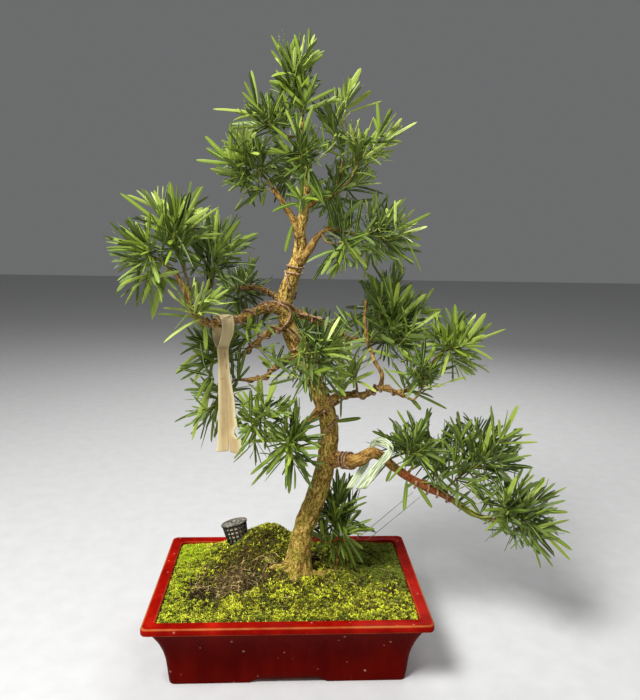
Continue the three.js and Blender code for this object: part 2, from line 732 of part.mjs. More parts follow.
/** Leaves in a spiral round the outer part of one shoot, steeper towards its tip. */
function growLeaves(mass, from, to, random, placed) {
  const along = to.clone().sub(from).normalize();
  const [first, second] = sideways(along);
  const turn = random() * 2 * Math.PI;
  const leaves = [];
  for (let index = 0; index < LEAF.perShoot; index += 1) {
    const down = index / (LEAF.perShoot - 1);
    const angle = turn + index * GOLDEN_ANGLE;
    const lean = between(LEAF.lean, down) * vary(random);
    const around = first.clone().multiplyScalar(Math.cos(angle)).addScaledVector(second, Math.sin(angle));
    const direction = along.clone().multiplyScalar(Math.cos(lean)).addScaledVector(around, Math.sin(lean));
    const length = between(LEAF.length, random());
    const seat = to.clone().lerp(from, between(LEAF.seats, down));
    const fitting = LEAF.shorter
      .map((share) => leafCorners(seat, direction, along, length * share))
      .find((corners) => leafFits(mass, corners, placed));
    if (fitting) {
      placed.push([freeFrom(fitting), fitting.tip]);
      leaves.push(leafSolid(fitting));
    }
  }
  return leaves;
}

/** A mass's stem: from its carrier's tip or side, past a bend, to the leading shoot's tip. */
function stemLine(mass) {
  const carrier = limbs.get(mass.from);
  const along = carrier.direction(mass.at);
  const middle = carrier.point(mass.at);
  const out = mass.at === 1 ? along.clone() : mass.heart.clone().sub(middle);
  if (mass.at < 1) out.addScaledVector(along, -out.dot(along)).normalize();
  const start = middle.addScaledVector(out, mass.at === 1 ? GAP : carrier.radius(mass.at) * TWIG.seat);
  const straight = Math.min(TWIG.straight, 0.4 * start.distanceTo(mass.heart));
  const bend = start.clone().addScaledVector(out, straight);
  const axis = mass.heart.clone().sub(bend).normalize();
  return { start, bend, axis, leader: mass.heart.clone().addScaledVector(axis, TWIG.leader * mass.size) };
}

/** One mass: a stem that ends in the leading shoot, side shoots round it, and their leaves. */
function growMass(mass, seed) {
  const random = randomStream(seed);
  const { heart, reach } = mass;
  const { start, bend, axis, leader } = stemLine(mass);
  const [first, second] = sideways(axis);
  const solids = [twigSolid([start, bend, leader], [TWIG.stem, TWIG.tip])];
  const placed = [];
  solids.push(...growLeaves(mass, bend.clone().lerp(leader, 0.5), leader, random, placed));
  const turn = random() * 2 * Math.PI;
  for (let index = 1; index < mass.shoots; index += 1) {
    const share = index / mass.shoots;
    const angle = turn + index * GOLDEN_ANGLE;
    const rise = between(TWIG.rises, share);
    const wide = Math.sqrt(1 - rise * rise);
    const way = axis.clone().multiplyScalar(rise)
      .addScaledVector(first, wide * Math.cos(angle))
      .addScaledVector(second, wide * Math.sin(angle))
      .multiply(vector(reach));
    const tip = heart.clone().addScaledVector(way, TWIG.reach * vary(random));
    const base = bend.clone().lerp(leader, between(TWIG.forks, share));
    const fits = inSpace(mass, tip, TWIG.tipInside) && inSpace(mass, base, TWIG.footInside)
      && clearance(base, tip, mass.name) > TWIG.tip / 2 + GAP;
    if (fits) {
      solids.push(twigSolid([base, tip], [TWIG.shoot, TWIG.tip]));
      solids.push(...growLeaves(mass, base, tip, random, placed));
    }
  }
  let solid = wasm.Manifold.union(solids);
  if (mass.at < 1) solid = solid.subtract(limbs.get(mass.from).solid(GAP));
  return mainBody(solid);
}

function prepareMasses() {
  const masses = MASSES.map((mass) => ({
    ...mass,
    heart: vector(mass.heart),
    size: Math.cbrt(mass.reach[0] * mass.reach[1] * mass.reach[2]),
  }));
  for (const mass of masses) {
    mass.neighbours = masses.filter((other) => other !== mass
      && other.heart.distanceTo(mass.heart) < Math.max(...mass.reach) + Math.max(...other.reach));
  }
  return masses;
}

// ---------------------------------------------------------------- the whole plant

const layout = new THREE.Group();
layout.position.set(-BOX_MIDDLE.x, -BOX_MIDDLE.y, 0);

function addPart(name, solid, material) {
  const mesh = new THREE.Mesh(toGeometry(solid), material);
  mesh.name = name;
  layout.add(mesh);
}

addPart('pot', makePot(), MATERIALS.glaze);
addPart('soil_moss', makeSoil([
  trunk.solid(GAP), limbs.get('basal_stem').solid(GAP), makeBasket(GAP),
]), MATERIALS.moss);
addPart('trunk', trunk.solid(), MATERIALS.bark);
for (const bough of BOUGHS) {
  const carrier = limbs.get(bough.from);
  let solid = limbs.get(bough.name).solid();
  if (carrier) solid = mainBody(solid.subtract(carrier.solid(GAP)));
  addPart(bough.name, solid, MATERIALS.bark);
}
addPart('fertiliser_basket', makeBasket(0), MATERIALS.plastic);
addPart('paper_tag', makeTag(), MATERIALS.paper);
addPart('small_label', makeLabel(), MATERIALS.paper);
const masses = prepareMasses();
addStemObstacles(masses);
masses.forEach((mass, index) => addPart(mass.name, growMass(mass, SEED + index), MATERIALS.leaf));

const plant = new THREE.Group();
plant.add(layout);
plant.updateMatrixWorld(true);

export default plant;
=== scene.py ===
"""A podocarpus bonsai in a red glazed pot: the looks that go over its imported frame.

Everything is worked out in millimetres from the middle of the pot, X to the right, Y away and
Z up, and is turned into metres in the frame where a mesh is made.
"""

import math

import bpy
import numpy as np
from mathutils import Matrix, Vector, noise


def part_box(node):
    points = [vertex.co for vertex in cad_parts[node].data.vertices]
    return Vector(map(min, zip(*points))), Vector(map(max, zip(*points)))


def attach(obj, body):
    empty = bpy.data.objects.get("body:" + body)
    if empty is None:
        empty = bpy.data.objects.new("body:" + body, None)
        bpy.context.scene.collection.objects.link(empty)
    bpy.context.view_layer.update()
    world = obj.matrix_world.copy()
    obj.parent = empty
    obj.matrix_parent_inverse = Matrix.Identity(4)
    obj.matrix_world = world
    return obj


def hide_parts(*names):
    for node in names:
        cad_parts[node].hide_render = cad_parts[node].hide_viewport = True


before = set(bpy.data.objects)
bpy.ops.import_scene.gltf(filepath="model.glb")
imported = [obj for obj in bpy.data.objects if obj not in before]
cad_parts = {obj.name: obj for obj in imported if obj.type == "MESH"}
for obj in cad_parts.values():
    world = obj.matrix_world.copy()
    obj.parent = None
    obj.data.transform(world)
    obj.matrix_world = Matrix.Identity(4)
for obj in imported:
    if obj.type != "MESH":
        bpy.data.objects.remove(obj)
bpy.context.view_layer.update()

# ---------------------------------------------------------------- sizes shared with the solids

pot_low, pot_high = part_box("pot")
POT_MIDDLE = np.array([(pot_low.x + pot_high.x) / 2, (pot_low.y + pot_high.y) / 2, 0.0])
MM = 0.001
GAP = 0.3

POT = {
    "rim_half": (150, 100),
    "rim_width": 13,
    "foot_height": 5,
    "foot_width": 13,
    "foot_inset": 23,
    "arch_half": (40, 26),
}

SOIL = {
    "edge_height": 76,
    "mound": {"at": (7, -6), "rise": 15, "spread": 62},
    "hump": {"at": (-28, 54), "rise": 36, "spread": 44},
    "dips": {"size": 1.2, "length": 6.5},
    "flat_edge": 12,
}

TRUNK = {
    "steps": 32,
    "flare": {"height": 15, "swell": 0.7, "lobes": 5, "turn": math.pi},
    "bends": [
        (10, -8, 88, 26), (16, -7, 140, 23), (29, -4, 175, 23.4), (38.6, -1, 209, 21.2),
        (44, 2, 244, 20.2), (42, 3, 268, 20), (25, 5, 314, 18.8), (2, 4, 359, 18.2),
        (-8, 2, 398, 17.6), (0, 1, 425, 16.6), (8.4, 0, 456, 12.4), (8.4, 0, 476, 10.2),
        (15, 2, 514, 9), (8, 3, 562, 6.2), (9, 2, 584, 4.2),
    ],
}

# name, carrier, and x, y, z and thickness at each bend
BOUGHS = [
    ("bough_low_right", "trunk", [
        (42, 2, 222, 14.7), (62, -12, 225, 14.4), (74, -28, 231, 14.6), (90, -30, 240, 12.8),
        (116, -18, 218, 9), (151, -12, 194, 9.2), (176, -12, 183, 7.4), (206, -18, 164, 5.4),
        (228, -22, 159, 4),
    ]),
    ("bough_mid_right", "trunk", [
        (40, 3, 283, 9), (52, -2, 296, 7.2), (82, -10, 300, 6.6), (97, -12, 308, 6.5),
        (124, -12, 299, 4.6),
    ]),
    ("bough_far_right", "bough_mid_right", [
        (116, -12, 302.5, 4.4), (134, -4, 306, 4.2), (147, -2, 324, 3.8), (161, -8, 343, 3.4),
    ]),
    ("bough_riser", "bough_mid_right", [
        (98, -12, 308, 4.6), (99, -10, 322, 4), (91, -5, 336, 3.8), (86, 2, 350, 3.4),
    ]),
    ("bough_upper_right", "trunk", [
        (-5, 2, 391, 9), (15, 8, 383, 7.6), (37, 16, 373, 6.7), (62, 24, 357, 6),
        (92, 30, 352, 4.4),
    ]),
    ("bough_left", "trunk", [
        (-7, 2, 393, 11.4), (-30, -8, 392, 9.6), (-58, -24, 382, 8.4), (-84, -42, 381, 7.6),
        (-98, -49, 392, 6), (-103, -50, 419, 5),
    ]),
    ("bough_left_end", "bough_left", [
        (-101, -50, 402, 4.4), (-108, -51, 420, 4), (-115, -52, 432, 3.6),
        (-123, -52, 439, 3.2),
    ]),
    ("bough_upper_left", "trunk", [
        (-7, 2, 398, 6.4), (-19, 14, 405, 5), (-39, 26, 412, 4.8), (-60, 36, 410, 4),
    ]),
    ("bough_lower_left", "trunk", [
        (0, 4, 371, 8.4), (-20, -12, 370, 7.2), (-38, -12, 356, 5.8), (-52, -8, 343, 4.2),
    ]),
    ("bough_bottom_left", "trunk", [
        (8, 4, 342, 6.8), (-14, -16, 334, 5), (-28, -20, 321, 4.6), (-50, -16, 317, 4),
    ]),
    ("bough_low_left", "trunk", [
        (38, 3, 284, 9), (22, -12, 273, 6.4), (12, -22, 262, 4.8), (4, -28, 255, 3.8),
    ]),
    ("bough_top_right", "trunk", [
        (6, 0, 442, 11.4), (17, -2, 454, 8.6), (26, -3, 468, 6), (38, -6, 477, 4.4),
        (48, -10, 475, 3.6),
    ]),
    ("bough_crown_right", "trunk", [
        (14, 2, 500, 6), (30, 4, 507, 4.8), (44, 6, 514, 4.4), (49, 6, 534, 4),
    ]),
    ("fork_left", "trunk", [
        (8.4, 0, 468, 8.6), (1, -2, 485, 7), (-6, -4, 496, 6.4), (-12, -6, 506, 6),
        (-20, -7, 516, 5.4),
    ]),
    ("basal_stem", "soil_moss", [
        (56, 12, 78, 5.6), (57, 13, 94, 5), (58, 13, 106, 4.4),
    ]),
]

# name without foliage_, carrier, place along it, heart, half sizes of its space, and number of shoots
MASSES = [
    ("apex", "trunk", 1, (2, 0, 622), (35, 34, 52), 4),
    ("crown_left_high", "trunk", 0.95, (-22, -12, 576), (46, 40, 44), 5),
    ("crown_left_low", "fork_left", 1, (-42, 4, 541), (56, 48, 45), 6),
    ("crown_front", "trunk", 0.89, (9, -32, 545), (34, 38, 46), 3),
    ("crown_back", "trunk", 0.9, (-2, 44, 542), (46, 42, 50), 5),
    ("crown_right_high", "bough_crown_right", 1, (50, 8, 584), (40, 36, 54), 4),
    ("crown_right_low", "bough_crown_right", 0.85, (72, -10, 564), (48, 36, 46), 4),
    ("crown_right_back", "bough_crown_right", 0.55, (56, 38, 520), (42, 42, 44), 4),
    ("shoulder_inner", "bough_top_right", 0.6, (54, -20, 463), (36, 38, 44), 3),
    ("shoulder_outer", "bough_top_right", 1, (92, -4, 469), (46, 42, 44), 5),
    ("left_inner", "bough_left", 0.84, (-76, -20, 456), (42, 40, 48), 4),
    ("left_high", "bough_left", 1, (-120, -48, 470), (46, 42, 52), 5),
    ("left_tip", "bough_left_end", 1, (-137, -54, 448), (44, 40, 58), 5),
    ("left_back", "bough_upper_left", 1, (-58, 46, 408), (42, 46, 42), 5),
    ("left_under", "bough_left", 0.7, (-97, -62, 396), (42, 30, 30), 2),
    ("left_centre", "bough_lower_left", 0.55, (-42, -10, 372), (36, 30, 38), 3),
    ("lower_left", "bough_lower_left", 1, (-76, 2, 341), (52, 38, 46), 5),
    ("hanging_left", "bough_bottom_left", 1, (-80, -8, 288), (42, 38, 52), 4),
    ("low_left_front", "bough_low_left", 1, (0, -38, 254), (38, 40, 52), 4),
    ("low_left_outer", "bough_bottom_left", 0.75, (-35, -44, 275), (38, 38, 58), 4),
    ("centre_front", "trunk", 0.52, (26, -40, 346), (48, 40, 50), 5),
    ("centre_back", "trunk", 0.5, (28, 56, 340), (48, 48, 56), 6),
    ("middle_fan", "bough_mid_right", 0.42, (68, -10, 324), (36, 34, 40), 2),
    ("upper_right", "bough_riser", 1, (112, 14, 374), (60, 48, 58), 7),
    ("upper_right_back", "bough_upper_right", 1, (112, 72, 386), (50, 48, 52), 6),
    ("far_right", "bough_far_right", 1, (168, -20, 352), (52, 42, 46), 5),
    ("middle_right", "bough_mid_right", 1, (144, -24, 322), (48, 38, 42), 4),
    ("low_right_inner", "bough_low_right", 0.55, (132, -14, 238), (48, 42, 52), 5),
    ("low_right_high", "bough_low_right", 0.74, (222, -4, 224), (62, 46, 56), 7),
    ("low_right_tip", "bough_low_right", 1, (252, -24, 166), (66, 48, 58), 7),
    ("low_back", "bough_low_right", 0.66, (180, 46, 216), (46, 44, 46), 5),
    ("basal", "basal_stem", 1, (57, 12, 146), (42, 38, 60), 5),
]

# A mass's stem and shoots: thicknesses in mm, and lengths as shares of the mass's size or space
TWIG = {
    "stem": 5, "shoot": 2.2, "tip": 3.6, "seat": 0.7, "straight": 12, "straight_share": 0.4, "leader": 0.22,
    "reach": 0.42, "rises": (0.75, -0.55), "forks": (0.72, 0.3), "tip_inside": 3, "foot_inside": 2,
}

# The solids' own leaves, whose places the seeded rule repeats
COARSE = {
    "count": 5, "length": (34, 48), "taper": ((0, 1), (1, 1)), "shorter": (1, 0.82, 0.66),
    "half_width": 4, "thickness": 1.3, "seats": (0.1, 0.75), "lean": (0.6, 1.3), "free": 0.1,
    "clear": 3, "from_limbs": 3.2, "margin": 0.35, "stretch": 1,
}

# The leaves that fill in between them, all along the same shoots, their outer ends and side twigs
FINE = {
    "spacing": 3.1, "fewest": 7, "length": (34, 50), "shorter": (1, 0.84, 0.7, 0.56),
    "taper": ((0, 0.12, 0.35, 0.7, 1), (0.5, 0.78, 1, 1, 0.85)), "half_width": 2.1, "thickness": 0.5,
    "seats": (0, 0.95), "lean": (0.25, 1.25), "free": 0.12, "clear": 1.4, "from_limbs": 2.0,
    "margin": -3, "stretch": 1.16,
}
# Where a shoot's outer end lies, as shares of its mass: how far out, how much higher, and how thick
OUTER = 0.6
RISE = np.array([0, 0, 0.14])
OUTER_THICK = (0.62, 0.5)
# How far fine leaves and side twigs turn up from the way that their spiral gives them
LIFT = 0.34
TWIG_LIFT = np.array([0, 0, 0.38])

# The viewer: the eye, its angles, and the picture's focal length and middle in pixels
EYE = np.array([-5.7, -684.1, 472.5])
PITCH, YAW, ROLL = (math.radians(angle) for angle in (10.38, 3.11, 1.06))
FOCAL = 638.1
PICTURE_MIDDLE = (320, 350)

# Where a leaf is widest, how far leaves stay over the moss, and by how much a length or angle varies
WIDEST = 0.46
OVER_MOSS = 2
VARY = (0.85, 0.3)
SEED, FINE_SEED = 1000, 5000
GOLDEN_ANGLE = math.pi * (3 - math.sqrt(5))

# ---------------------------------------------------------------- numbers and vectors


def random_stream(seed):
    """The repeatable numbers from 0 to 1 that the solids are grown with (mulberry32)."""
    mask = 0xFFFFFFFF
    state = seed & mask

    def draw():
        nonlocal state
        state = (state + 0x6D2B79F5) & mask
        mixed = ((state ^ (state >> 15)) * (state | 1)) & mask
        mixed ^= (mixed + (mixed ^ (mixed >> 7)) * (mixed | 61)) & mask
        return ((mixed ^ (mixed >> 14)) & mask) / 4294967296

    return draw


def unit(vector):
    return vector / math.sqrt(vector @ vector)


def between(ends, share):
    return ends[0] + (ends[1] - ends[0]) * share


def vary(random):
    return VARY[0] + VARY[1] * random()


def smooth(low, high, value):
    """0 below low, 1 above high, and a smooth step between."""
    share = np.clip((value - low) / (high - low), 0, 1)
    return share * share * (3 - 2 * share)


def sideways(along):
    """Two directions at right angles to a twig, for turning its leaves round it."""
    helper = np.array([0.0, 0.0, 1.0]) if abs(along[2]) < 0.9 else np.array([1.0, 0.0, 0.0])
    first = unit(np.cross(along, helper))
    return first, np.cross(along, first)


def at_angle(first, second, angle):
    """The direction at an angle between two directions across."""
    return first * math.cos(angle) + second * math.sin(angle)


def segment_distance(a, b, starts, ends):
    """Shortest distances between the segment a-b and each of many segments."""
    u, v, w = b - a, ends - starts, a - starts
    uu, uv, uw = u @ u, v @ u, w @ u
    vv = np.einsum("ij,ij->i", v, v)
    vw = np.einsum("ij,ij->i", v, w)
    det = uu * vv - uv * uv
    crossing = det > 1e-9
    s = np.where(crossing, np.clip((uv * vw - vv * uw) / np.where(crossing, det, 1), 0, 1), 0)
    t = np.clip((uv * s + vw) / vv, 0, 1)
    s = np.clip((uv * t - uw) / uu, 0, 1)
    t = np.clip((uv * s + vw) / vv, 0, 1)
    apart = (a + s[:, None] * u) - (starts + t[:, None] * v)
    return np.sqrt(np.einsum("ij,ij->i", apart, apart))


def ripple(points, scale, shift=0.0):
    """Smooth noise from about -1 to 1 at each of many points."""
    moved = np.asarray(points) * scale + shift
    return np.array([noise.noise(Vector(point)) for point in moved])


# ---------------------------------------------------------------- limbs and soil


# The root flare's lobes, as shares of its swell, and the length of a limb's straight pieces in its solid
LOBE = (0.62, 0.38)
PIECE = 14


class Limb:
    """A limb with the middle line, the thickness and the swell of its solid."""

    def __init__(self, name, bends, flare=None, steps=None):
        table = np.array(bends, float)
        self.name = name
        self.flare = flare
        self.bends = table[:, :3]
        self.thickness = table[:, 3]
        chain = self.line(np.linspace(0, 1, 201))
        self.length = float(np.linalg.norm(np.diff(chain, axis=0), axis=1).sum())
        self.steps = steps or max(3, int(self.length / PIECE + 0.5))

    def point(self, t):
        """A point of a centripetal Catmull-Rom curve through the bends."""
        bends = self.bends
        last = len(bends) - 1
        index = min(int(last * t), last - 1)
        weight = last * t - index
        p1, p2 = bends[index], bends[index + 1]
        p0 = bends[index - 1] if index > 0 else 2 * p1 - p2
        p3 = bends[index + 2] if index + 2 <= last else 2 * p2 - p1
        d0, d1, d2 = (math.dist(a, b) ** 0.5 for a, b in ((p0, p1), (p1, p2), (p2, p3)))
        m1 = d1 * ((p1 - p0) / d0 - (p2 - p0) / (d0 + d1) + (p2 - p1) / d1)
        m2 = d1 * ((p2 - p1) / d1 - (p3 - p1) / (d1 + d2) + (p3 - p2) / d2)
        cubic = 2 * p1 - 2 * p2 + m1 + m2
        square = 3 * p2 - 3 * p1 - 2 * m1 - m2
        return p1 + weight * (m1 + weight * (square + weight * cubic))

    def line(self, shares):
        return np.array([self.point(t) for t in shares])

    def direction(self, t):
        return unit(self.point(min(1, t + 1e-4)) - self.point(max(0, t - 1e-4)))

    def radius(self, t):
        last = len(self.thickness) - 1
        return float(np.interp(t * last, range(last + 1), self.thickness)) / 2

    def radii(self, shares):
        return np.array([self.radius(t) for t in shares])

    def swell(self, height, angle):
        if not self.flare:
            return 1.0
        flare = self.flare
        lobe = LOBE[0] + LOBE[1] * np.cos(flare["lobes"] * angle + flare["turn"])
        return 1 + flare["swell"] * lobe * np.exp(-height / flare["height"])


limbs = {"trunk": Limb("trunk", TRUNK["bends"], TRUNK["flare"], TRUNK["steps"])}
limbs.update((name, Limb(name, bends)) for name, _, bends in BOUGHS)
CARRIERS = {name: carrier for name, carrier, _ in BOUGHS}


def bump(x, y, form):
    distance = np.hypot(x - form["at"][0], y - form["at"][1])
    return form["rise"] * np.exp(-((distance / form["spread"]) ** 2))


def soil_height(x, y):
    """Height of the moss over the floor, level with the soil's edge along the pot's walls."""
    half_x, half_y = (half - POT["rim_width"] for half in POT["rim_half"])
    nearness = np.minimum(1, np.maximum(np.abs(x) / half_x, np.abs(y) / half_y))
    fade = 1 - nearness ** SOIL["flat_edge"]
    size, length = SOIL["dips"]["size"], SOIL["dips"]["length"]
    dips = size * np.sin(x / length) * np.cos(y / length)
    return SOIL["edge_height"] + fade * (bump(x, y, SOIL["mound"]) + bump(x, y, SOIL["hump"]) + dips)


# ---------------------------------------------------------------- the rule that grows the masses

# The paper tag: the bough it hangs over, where, the height and width it takes, and how far leaves keep off
TAG = {"over": "bough_left", "at": 0.47, "head": (140, 28), "from_leaves": 8.5}


class Mass:
    """One mass of foliage: the space that it grows in and the stem that carries it."""

    def __init__(self, index, row):
        self.index = index
        self.short, self.carrier, self.at, heart, reach, self.shoots = row
        self.name = "foliage_" + self.short
        self.heart = np.array(heart, float)
        self.reach = np.array(reach, float)
        self.size = float(np.cbrt(self.reach.prod()))

    def find_neighbours(self, masses):
        """The masses that this one could grow into."""
        others = [other for other in masses if other is not self]
        near = [
            other for other in others
            if math.dist(other.heart, self.heart) < self.reach.max() + other.reach.max()
        ]
        self.hearts = np.array([other.heart for other in near]).reshape(-1, 3)
        self.sizes = np.array([other.size for other in near])
        self.away = np.linalg.norm(self.hearts - self.heart, axis=1)

    def holds(self, points, margin, stretch=1.0):
        """Whether points lie in the mass's own space, cut off half way to its neighbours."""
        points = np.atleast_2d(points)
        offset = points - self.heart
        if (((offset / (self.reach * stretch)) ** 2).sum(1) > 1).any():
            return False
        over_pot = np.abs(points[:, 0]) < POT["rim_half"][0] + 2 * OVER_MOSS
        if (over_pot & (points[:, 2] < soil_height(points[:, 0], points[:, 1]) + OVER_MOSS)).any():
            return False
        power = (offset ** 2).sum(1) - self.size ** 2
        others = ((points[:, None] - self.hearts) ** 2).sum(2) - self.sizes ** 2
        return bool((power[:, None] + 2 * margin * self.away < others).all())

    def stem(self):
        """The stem: from its carrier's tip or side, past a bend, to the leading shoot's tip."""
        carrier = limbs[self.carrier]
        along = carrier.direction(self.at)
        middle = carrier.point(self.at)
        if self.at == 1:
            out, start = along, middle + along * GAP
        else:
            out = self.heart - middle
            out = unit(out - along * (out @ along))
            start = middle + out * carrier.radius(self.at) * TWIG["seat"]
        straight = min(TWIG["straight"], TWIG["straight_share"] * math.dist(start, self.heart))
        bend = start + out * straight
        axis = unit(self.heart - bend)
        return start, bend, axis, self.heart + axis * TWIG["leader"] * self.size


class Obstacles:
    """Limbs, stems and the tag as thick segments that leaves and twigs keep clear of."""

    def __init__(self):
        self.rows = []
        self.kept = {}

    def add(self, owner, start, end, radius):
        self.rows.append((owner, start, end, radius))

    def clearance(self, start, end, owner):
        """The room between a segment and the nearest part that isn't its owner's."""
        if owner not in self.kept:
            rows = [row for row in self.rows if row[0] != owner]
            self.kept[owner] = tuple(map(np.array, list(zip(*rows))[1:]))
        starts, ends, radii = self.kept[owner]
        return float((segment_distance(start, end, starts, ends) - radii).min())


masses = [Mass(index, row) for index, row in enumerate(MASSES)]
obstacles = Obstacles()
for limb in limbs.values():
    for step in range(limb.steps):
        t, following = step / limb.steps, (step + 1) / limb.steps
        foot = limb.swell(limb.point(t)[2] - limb.point(0)[2], 0)
        widest = max(limb.radius(t), limb.radius(following)) * max(1, foot)
        obstacles.add(limb.name, limb.point(t), limb.point(following), widest)
for side in (-1, 1):
    top = limbs[TAG["over"]].point(TAG["at"]) + np.array([side * TAG["head"][1] / 4, 0, 0])
    obstacles.add("tag", top, top - np.array([0, 0, TAG["head"][0]]), TAG["from_leaves"])
for mass in masses:
    mass.find_neighbours(masses)
    start, bend, _, leader = mass.stem()
    obstacles.add(mass.name, start, bend, TWIG["stem"] / 2)
    obstacles.add(mass.name, bend, leader, TWIG["stem"] / 2)

# The viewer's directions: straight ahead, to the picture's right and up it
forward = np.array([math.sin(YAW) * math.cos(PITCH), math.cos(YAW) * math.cos(PITCH), -math.sin(PITCH)])
level = np.array([math.cos(YAW), -math.sin(YAW), 0])
upright = np.cross(level, forward)
rightward = level * math.cos(ROLL) + upright * math.sin(ROLL)
upward = upright * math.cos(ROLL) - level * math.sin(ROLL)


def seen_at(point):
    """Where a point is seen from the viewer's eye, on the upright plane through the pot's middle."""
    place = EYE + (point - EYE) * EYE[1] / (EYE[1] - point[1])
    return place * (1, 0, 1)


def on_sight_line(place, depth=0.0):
    """The point at some depth that the viewer sees at a place of the picture, in pixels."""
    right, down = place[0] - PICTURE_MIDDLE[0], place[1] - PICTURE_MIDDLE[1]
    way = forward + (rightward * right - upward * down) / FOCAL
    return EYE + way * (depth - EYE[1]) / way[1]


# Places in the picture, and the radius in mm, where the crown is open and the ground behind shows
OPEN = [
    (266, 52, 6), (266, 68, 8), (262, 80, 8), (323, 62, 6), (328, 78, 8), (310, 68, 4), (338, 76, 7),
    (350, 118, 10), (365, 118, 10), (341, 126, 3), (373, 129, 4), (383, 98, 6), (318, 165, 7),
    (319, 126, 4), (408, 143, 7), (400, 159, 9), (385, 167, 7), (228, 193, 8), (214, 182, 8),
    (224, 206, 9), (238, 100, 6), (265, 90, 4), (150, 184, 6), (184, 183, 4), (113, 208, 9),
    (106, 225, 4), (103, 258, 8), (112, 273, 6), (115, 300, 6), (172, 306, 8), (169, 340, 11),
    (183, 352, 7), (248, 225, 7), (256, 246, 7), (244, 253, 4), (270, 336, 7), (249, 355, 6),
    (256, 369, 10), (266, 369, 6), (284, 388, 7), (245, 393, 4), (306, 408, 7), (176, 405, 8),
    (206, 440, 4), (350, 276, 10), (358, 291, 8), (340, 290, 11), (325, 290, 13), (384, 264, 4),
    (413, 272, 8), (302, 299, 7), (315, 299, 7), (497, 335, 13), (493, 356, 13), (479, 346, 3),
    (441, 391, 10), (456, 391, 10), (427, 399, 9), (370, 412, 16), (386, 424, 9), (402, 411, 10),
    (436, 426, 9), (420, 411, 7), (440, 412, 9), (475, 408, 9), (486, 411, 3), (539, 456, 9),
    (531, 426, 9), (561, 480, 6), (500, 541, 10), (511, 553, 9), (526, 556, 10), (541, 562, 8),
    (368, 499, 10), (373, 511, 7), (250, 462, 4), (311, 448, 4), (460, 300, 9), (480, 300, 9),
    (505, 400, 9), (480, 385, 9), (480, 533, 9), (469, 526, 7), (530, 452, 8), (437, 432, 6),
    (524, 470, 4), (167, 346, 7), (319, 398, 5), (323, 409, 6),
    (327, 420, 5), (289, 350, 5), (291, 336, 5),
]
OPEN_AT = np.array([on_sight_line(place) for place in OPEN])
OPEN_ROOM = np.array([place[2] for place in OPEN])

# What shows in front of the leaves, from the viewer: its start, its end and the room it keeps
SHOWN = [
    ((-68, -32, 352), (-66, -32, 240), 8),
    ((2, 4, 345), (-4, 3, 385), 6),
]
SHOWN_AT = np.array([[seen_at(np.array(start)), seen_at(np.array(end))] for start, end, _ in SHOWN])
SHOWN_DEPTH = np.array([max(start[1], end[1]) for start, end, _ in SHOWN])
SHOWN_ROOM = np.array([room for _, _, room in SHOWN])


def in_the_way(seat, tip):
    """Whether a leaf would close an open place or hide what shows in front."""
    here, there = seen_at(seat), seen_at(tip)
    if (segment_distance(here, there, OPEN_AT, OPEN_AT + (0, 0, 0.01)) < OPEN_ROOM).any():
        return True
    hides = segment_distance(here, there, SHOWN_AT[:, 0], SHOWN_AT[:, 1]) < SHOWN_ROOM
    return (hides & (min(seat[1], tip[1]) < SHOWN_DEPTH)).any()


def grow_leaves(mass, start, end, random, placed, rule, tint, lift=0.0):
    """Leaves in a spiral round the outer part of one shoot, steeper towards its tip.

    Each is its seat, three directions, its length, its place down the shoot and its tint. The width
    and the arch that end it are read from the picture for the leaves of LEAVES_SEEN, and 0 here.
    """
    along = unit(end - start)
    first, second = sideways(along)
    turn = random() * 2 * math.pi
    count = rule.get("count") or max(rule["fewest"], round(math.dist(start, end) / rule["spacing"]))
    grown = []
    for index in range(count):
        down = index / (count - 1)
        angle = turn + index * GOLDEN_ANGLE
        lean = between(rule["lean"], down) * vary(random)
        around = at_angle(first, second, angle)
        way = along * math.cos(lean) + around * math.sin(lean)
        if lift:
            way = unit(way + np.array([0, 0, lift]))
        length = between(rule["length"], random()) * np.interp(down, *rule["taper"])
        seat = end + (start - end) * between(rule["seats"], down)
        across = unit(np.cross(way, along))
        face = unit(np.cross(across, way))
        for share in rule["shorter"]:
            tip = seat + way * length * share
            middle = seat + way * length * share * WIDEST
            edge = across * rule["half_width"]
            corners = np.array([seat, tip, middle - edge, middle + edge, middle - face * rule["thickness"]])
            free = seat + (tip - seat) * rule["free"]
            if not mass.holds(corners, rule["margin"], rule["stretch"]) or in_the_way(seat, tip):
                continue
            if obstacles.clearance(seat, tip, mass.name) <= rule["from_limbs"]:
                continue
            others = map(np.array, zip(*placed))
            if placed and (segment_distance(free, tip, *others) <= rule["clear"]).any():
                continue
            placed.append((free, tip))
            grown.append((seat, way, across, face, length * share, down, tint, 0.0, 0.0))
            break
    return grown


# The usual tint of each mass, as a place in TINTS: masses in shade are deeper, as painted shade, and young
# ones lighter
TINTS = ("deep", "green", "fresh", "light", "young")
MASS_TINT = {
    "basal": 0, "low_back": 0, "centre_back": 0, "left_back": 0, "crown_front": 0.7,
    "low_right_inner": 0.8, "low_right_high": 0.9, "middle_right": 0.9, "crown_back": 1,
    "upper_right_back": 1, "lower_left": 1, "left_inner": 1, "upper_right": 1.2, "centre_front": 1.2,
    "low_right_tip": 1.4, "hanging_left": 2, "left_under": 3, "middle_fan": 4,
}
USUAL_TINT, TINT_SPREAD = 1.5, 2.6
